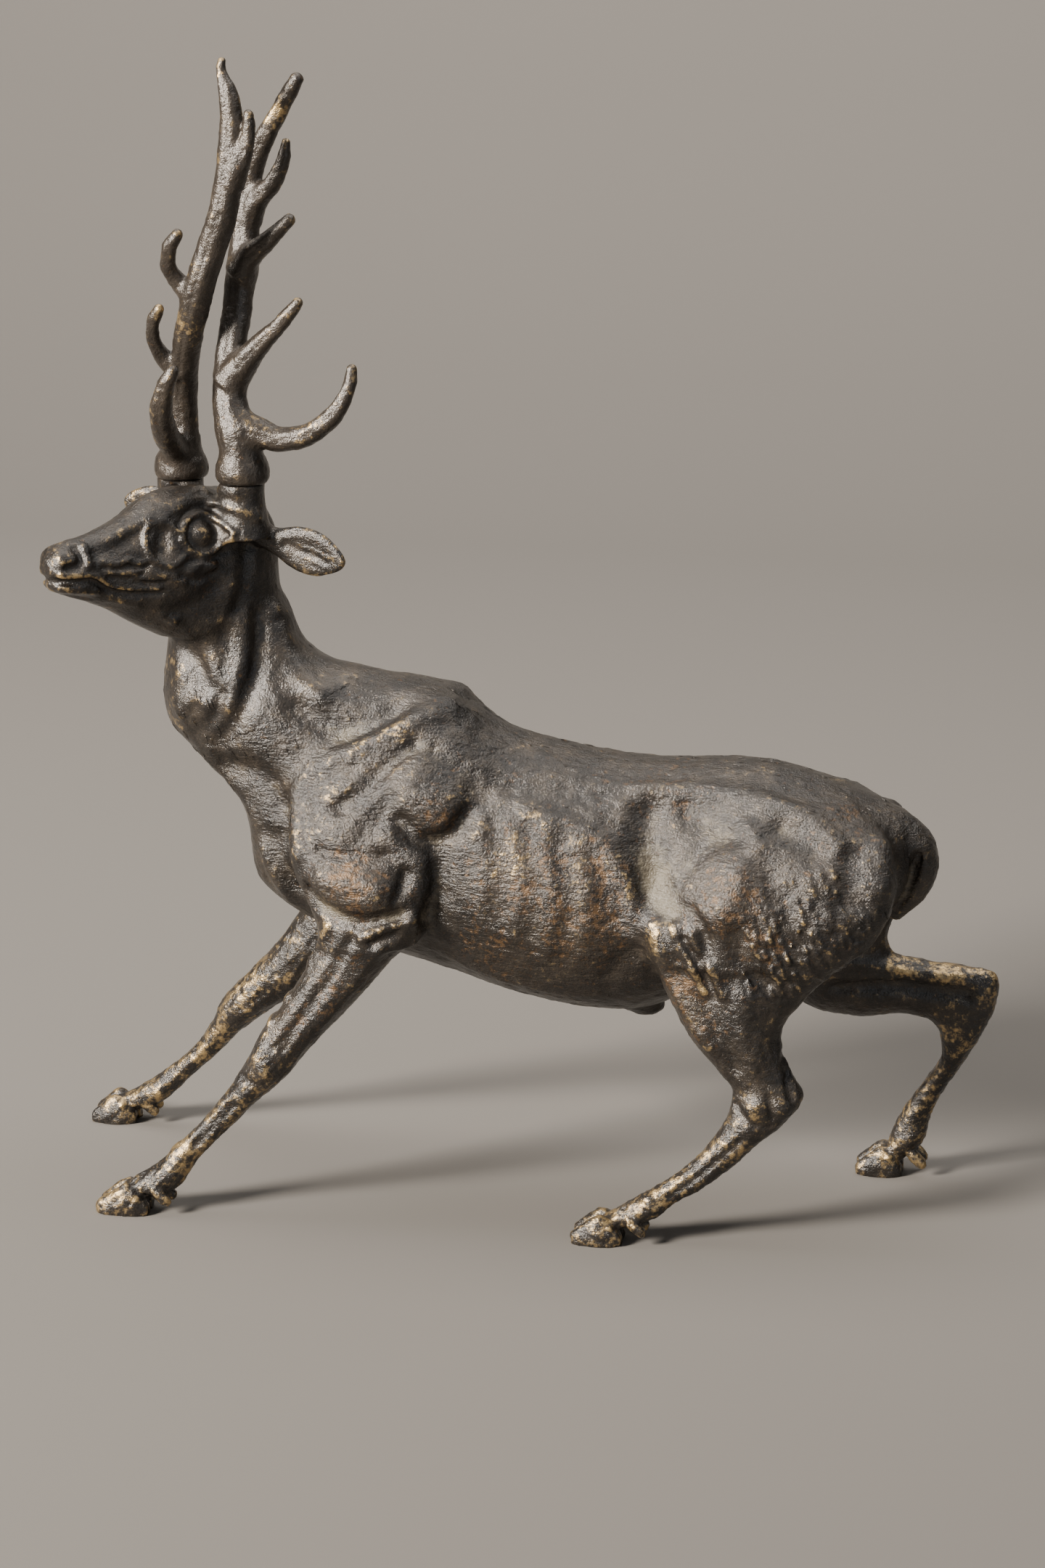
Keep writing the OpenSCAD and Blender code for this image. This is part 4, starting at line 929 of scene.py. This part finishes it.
wire.put(shown.inputs["Metal"], wire.math("MULTIPLY", wire.math("ADD", wire.math("MULTIPLY", worn, 0.4), 0.52), clear))
rough = wire.math("ADD", 0.2, wire.math("MULTIPLY", spot, 0.24))
rough = wire.math("ADD", rough, wire.math("MULTIPLY", rusty, 0.14))
wire.put(shown.inputs["Roughness"], wire.math("ADD", rough, wire.math("MULTIPLY", dusty, 0.3)))
height = wire.math("ADD", wire.math("MULTIPLY", spot, 0.8), wire.math("MULTIPLY", fine, 0.55))
wire.put(shown.inputs["Height"], wire.math("SUBTRACT", height, wire.math("MULTIPLY", worn, 0.12)))

hair = new_group("chased_hair", [], [("Height", "NodeSocketFloat")])
wire = Wiring(hair)
shown = wire.node("NodeGroupOutput")
wire.put(shown.inputs["Height"], wire.speckle(1.0, 3, 0.6, (520, 1300, 2200)))


def bronze_finish(name, wear, bump, hair_depth, **colours):
    material = bpy.data.materials.new(name)
    material.use_nodes = True
    wire = Wiring(material.node_tree)
    shader = material.node_tree.nodes["Principled BSDF"]
    layers = wire.node("ShaderNodeGroup", node_tree=patina)
    layers.inputs["Wear"].default_value = wear
    for label, value in colours.items():
        layers.inputs[label].default_value = (*value, 1)
    for output, socket in (("Color", "Base Color"), ("Metal", "Metallic"), ("Roughness", "Roughness")):
        wire.put(shader.inputs[socket], layers.outputs[output])
    strokes = wire.node("ShaderNodeGroup", node_tree=hair)
    height = wire.math("ADD", layers.outputs["Height"], wire.math("MULTIPLY", strokes.outputs["Height"], hair_depth))
    relief = wire.node("ShaderNodeBump")
    relief.inputs["Strength"].default_value = bump
    relief.inputs["Distance"].default_value = 0.00035
    wire.put(relief.inputs["Height"], height)
    wire.put(shader.inputs["Normal"], relief.outputs["Normal"])
    wire.put(shader.inputs["Coat Normal"], relief.outputs["Normal"])
    shader.inputs["IOR"].default_value = 1.6
    shader.inputs["Coat Weight"].default_value = 0.35
    shader.inputs["Coat Roughness"].default_value = 0.28
    return material


def fit(piece, finish, slot, *nodes, body="stag"):
    piece.data.materials.clear()
    piece.data.materials.append(finish)
    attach(piece, body)
    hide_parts(*nodes)


dark_bronze = bronze_finish("dark_patinated_bronze", 0.0, 0.7, 0.9)
leg_bronze = bronze_finish("rubbed_leg_bronze", 0.02, 0.6, 0.5)
face_bronze = bronze_finish("chased_face_bronze", 0.0, 0.55, 0.4)
antler_bronze = bronze_finish("handled_antler_bronze", -0.06, 0.5, 0.2, Patina=(0.026, 0.02, 0.015))
for node, piece in castings.items():
    finish, slot = dark_bronze, "bronze"
    if node in ("foreleg_left", "foreleg_right", "hindleg_right"):
        finish, slot = leg_bronze, "rubbed_bronze"
    elif node == "hindleg_left":
        finish = leg_bronze
    elif node in ("neck_and_head", "ear_left", "ear_right"):
        finish = face_bronze
    elif node.startswith("antler"):
        fit(piece, antler_bronze, "antler_bronze", node, body=node)
        continue
    fit(piece, finish, slot, node)

# Coat -------------------------------------------------------------------
# Short raised hairs over the body, left by the modeller's comb in the wax and
# cast with it. They lie along the coat, thickest on the neck, ribs and thigh.

HAIR_LENGTH, HAIR_WIDTH, HAIR_HEIGHT = 1.3, 0.34, 0.16


def lock_shape():
    """One low-polygon hair: a pointed drop, one unit long, wide and high."""
    rings = [[[x, 0, 0], [0, 0, r], [0, r, 0]] for x, r in ((-0.5, 0.1), (-0.2, 0.5), (0.15, 0.4), (0.5, 0.06))]
    points, caps, sides = skin_over(rings, steps=1, sides=6)
    mesh = bpy.data.meshes.new("coat_hair_shape")
    mesh.from_pydata([tuple(p) for p in points], [], [tuple(f[::-1]) for f in (*caps, *sides)])
    shape = bpy.data.objects.new("coat_hair_shape", mesh)
    return shape


comb = bpy.data.node_groups.new("combed_coat", "GeometryNodeTree")
for label, kind, value in (("Geometry", "NodeSocketGeometry", None), ("Hair", "NodeSocketObject", None),
                           ("Length", "NodeSocketFloat", 0.001), ("Width", "NodeSocketFloat", 0.0003),
                           ("Height", "NodeSocketFloat", 0.0002), ("Density", "NodeSocketFloat", 100000.0),
                           ("Seed", "NodeSocketInt", 5), ("Material", "NodeSocketMaterial", None)):
    socket = comb.interface.new_socket(label, in_out="INPUT", socket_type=kind)
    if value is not None:
        socket.default_value = value
comb.interface.new_socket("Geometry", in_out="OUTPUT", socket_type="NodeSocketGeometry")
wire = Wiring(comb)
given, shown = wire.node("NodeGroupInput").outputs, wire.node("NodeGroupOutput")
scatter = wire.node("GeometryNodeDistributePointsOnFaces", distribute_method="RANDOM")
thickness = wire.node("GeometryNodeInputNamedAttribute", data_type="FLOAT")
thickness.inputs["Name"].default_value = "tufts"
wire.put(scatter.inputs["Mesh"], given["Geometry"])
wire.put(scatter.inputs["Density"], wire.math("MULTIPLY", thickness.outputs["Attribute"], given["Density"]))
wire.put(scatter.inputs["Seed"], given["Seed"])
lie = wire.node("GeometryNodeInputNamedAttribute", data_type="FLOAT_VECTOR")
lie.inputs["Name"].default_value = "lie"
turn = wire.node("FunctionNodeAlignRotationToVector", axis="X", pivot_axis="Z")
wire.put(turn.inputs["Rotation"], scatter.outputs["Rotation"])
wire.put(turn.inputs["Vector"], lie.outputs["Attribute"])
stray = wire.node("FunctionNodeRandomValue", data_type="FLOAT")
stray.inputs["Min"].default_value, stray.inputs["Max"].default_value = 0.55, 1.35
wire.put(stray.inputs["Seed"], given["Seed"])
size = wire.node("ShaderNodeCombineXYZ")
for axis, label in zip("XYZ", ("Length", "Width", "Height")):
    wire.put(size.inputs[axis], wire.math("MULTIPLY", given[label], stray.outputs[1]))
sown = wire.node("GeometryNodeInstanceOnPoints")
hair_object = wire.node("GeometryNodeObjectInfo")
wire.put(hair_object.inputs["Object"], given["Hair"])
wire.put(sown.inputs["Points"], scatter.outputs["Points"])
wire.put(sown.inputs["Instance"], hair_object.outputs["Geometry"])
wire.put(sown.inputs["Rotation"], turn.outputs["Rotation"])
wire.put(sown.inputs["Scale"], size.outputs[0])
real = wire.node("GeometryNodeRealizeInstances")
wire.put(real.inputs["Geometry"], sown.outputs["Instances"])
dressed = wire.node("GeometryNodeSetMaterial")
wire.put(dressed.inputs["Geometry"], real.outputs["Geometry"])
wire.put(dressed.inputs["Material"], given["Material"])
wire.put(shown.inputs["Geometry"], dressed.outputs["Geometry"])

# Where the comb went: (x, y, z), radius, strength
combed = [((-3, 0, 62), 15, 0.7), ((-22, 0, 58), 11, 0.8), ((40, 0, 52), 11, 1), ((8, 0, 56), 12, 0.8), ((-40, 0, 66), 10, 0.8),
          ((30, 0, 60), 12, 0.7), ((44, 0, 44), 9, 0.8)]


def comb_coat(name, skin, finish):
    """Sows the hairs over a casting and gives them back as one mesh of their own."""
    points = np.empty(len(skin.data.vertices) * 3, np.float32)
    skin.data.vertices.foreach_get("co", points)
    points = points.reshape(-1, 3) / MM - STATION_SHIFT
    across = points * [1, 0, 1]
    strength = patches(across, combed) * (0.5 + 0.5 * noise(points / 3.0, 21)).clip(0, 1)
    skin.data.attributes.new("tufts", "FLOAT", "POINT").data.foreach_set("value", strength.astype(np.float32))
    bearer = bpy.data.objects.new(name, skin.data)
    bpy.context.scene.collection.objects.link(bearer)
    modifier = bearer.modifiers.new("comb", "NODES")
    modifier.node_group = comb
    settings = {"Hair": hair_shape, "Length": HAIR_LENGTH * MM, "Width": HAIR_WIDTH * MM, "Height": HAIR_HEIGHT * MM,
                "Density": 0.55 / MM**2, "Seed": 5, "Material": finish}
    for socket in comb.interface.items_tree:
        if socket.name in settings:
            modifier[socket.identifier] = settings[socket.name]
    bpy.context.view_layer.update()
    hairs = bpy.data.meshes.new_from_object(bearer.evaluated_get(bpy.context.evaluated_depsgraph_get()))
    hairs.name = name
    bearer.modifiers.remove(modifier)
    bearer.data = hairs
    print(name, len(hairs.polygons), "faces")
    return bearer


hair_shape = lock_shape()
for piece_name, casting in (("stag_body_hair", "torso"), ("stag_neck_hair", "neck_and_head")):
    hairs = comb_coat(piece_name, castings[casting], dark_bronze)
    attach(hairs, "stag")

# Dowels, pins and the two antler pegs are turned steel rods
steel = bpy.data.materials.new("turned_steel")
steel.use_nodes = True
wire = Wiring(steel.node_tree)
shader = steel.node_tree.nodes["Principled BSDF"]
shader.inputs["Metallic"].default_value = 1.0
lathe = wire.speckle(900, 3, 0.6, (1, 1, 9))
wire.put(shader.inputs["Base Color"], wire.mix(lathe, (0.42, 0.41, 0.4, 1), (0.6, 0.6, 0.58, 1)))
wire.put(shader.inputs["Roughness"], wire.math("ADD", 0.22, wire.math("MULTIPLY", lathe, 0.2)))
for name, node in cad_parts.items():
    if name not in castings:
        node.data.materials.clear()
        node.data.materials.append(steel)

# Stage ------------------------------------------------------------------
# A plain pale sweep under soft studio light.


def light(name, place, target, size, power, colour):
    lamp = bpy.data.lights.new(name, "AREA")
    lamp.size, lamp.energy, lamp.color = size, power, colour
    stand = bpy.data.objects.new(name, lamp)
    stand.location = place
    stand.rotation_mode = "QUATERNION"
    stand.rotation_quaternion = (Vector(place) - Vector(target)).to_track_quat("Z", "Y")
    bpy.context.scene.collection.objects.link(stand)


floor_depth = [(-2.0, 0), (0.4, 0), (0.5, 0.02), (0.6, 0.08), (0.66, 0.18), (0.68, 0.4), (0.68, 2.5)]
floor_points = [(x, y, z) for y, z in floor_depth for x in (-3.0, 3.0)]
floor_faces = np.array([[2 * i, 2 * i + 1, 2 * i + 3, 2 * i + 2] for i in range(len(floor_depth) - 1)])
floor = new_mesh("floor", floor_points, floor_faces)
paper = bpy.data.materials.new("pale_paper")
paper.use_nodes = True
paper.node_tree.nodes["Principled BSDF"].inputs["Base Color"].default_value = (0.115, 0.105, 0.094, 1)
paper.node_tree.nodes["Principled BSDF"].inputs["Roughness"].default_value = 0.85
floor.data.materials.append(paper)

studio = bpy.data.worlds.new("studio")
bpy.context.scene.world = studio
studio.use_nodes = True
studio.node_tree.nodes["Background"].inputs["Color"].default_value = (0.92, 0.96, 1.0, 1)
studio.node_tree.nodes["Background"].inputs["Strength"].default_value = 0.1
light("key", (-0.62, -0.56, 0.46), (0, 0, 0.06), 0.24, 38, (1.0, 0.94, 0.86))
light("fill", (0.65, -0.77, 0.5), (0, 0, 0.06), 0.8, 2.2, (0.86, 0.92, 1.0))
light("backdrop", (0, 0.2, 0.6), (0, 0.75, 0.1), 0.7, 8, (1.0, 0.97, 0.93))

camera = bpy.data.cameras.new("camera")
camera.lens, camera.sensor_width = 100, 36
camera.clip_start, camera.clip_end = 0.01, 20
holder = bpy.data.objects.new("camera", camera)
azimuth, elevation, distance = math.radians(10), math.radians(16), 0.6
back = Vector((math.sin(azimuth) * math.cos(elevation), -math.cos(azimuth) * math.cos(elevation), math.sin(elevation)))
holder.location = Vector((0.00095, 0.00065, 0.0595)) + back * distance
holder.rotation_mode = "QUATERNION"
holder.rotation_quaternion = back.to_track_quat("Z", "Y")
bpy.context.scene.collection.objects.link(holder)
bpy.context.scene.camera = holder
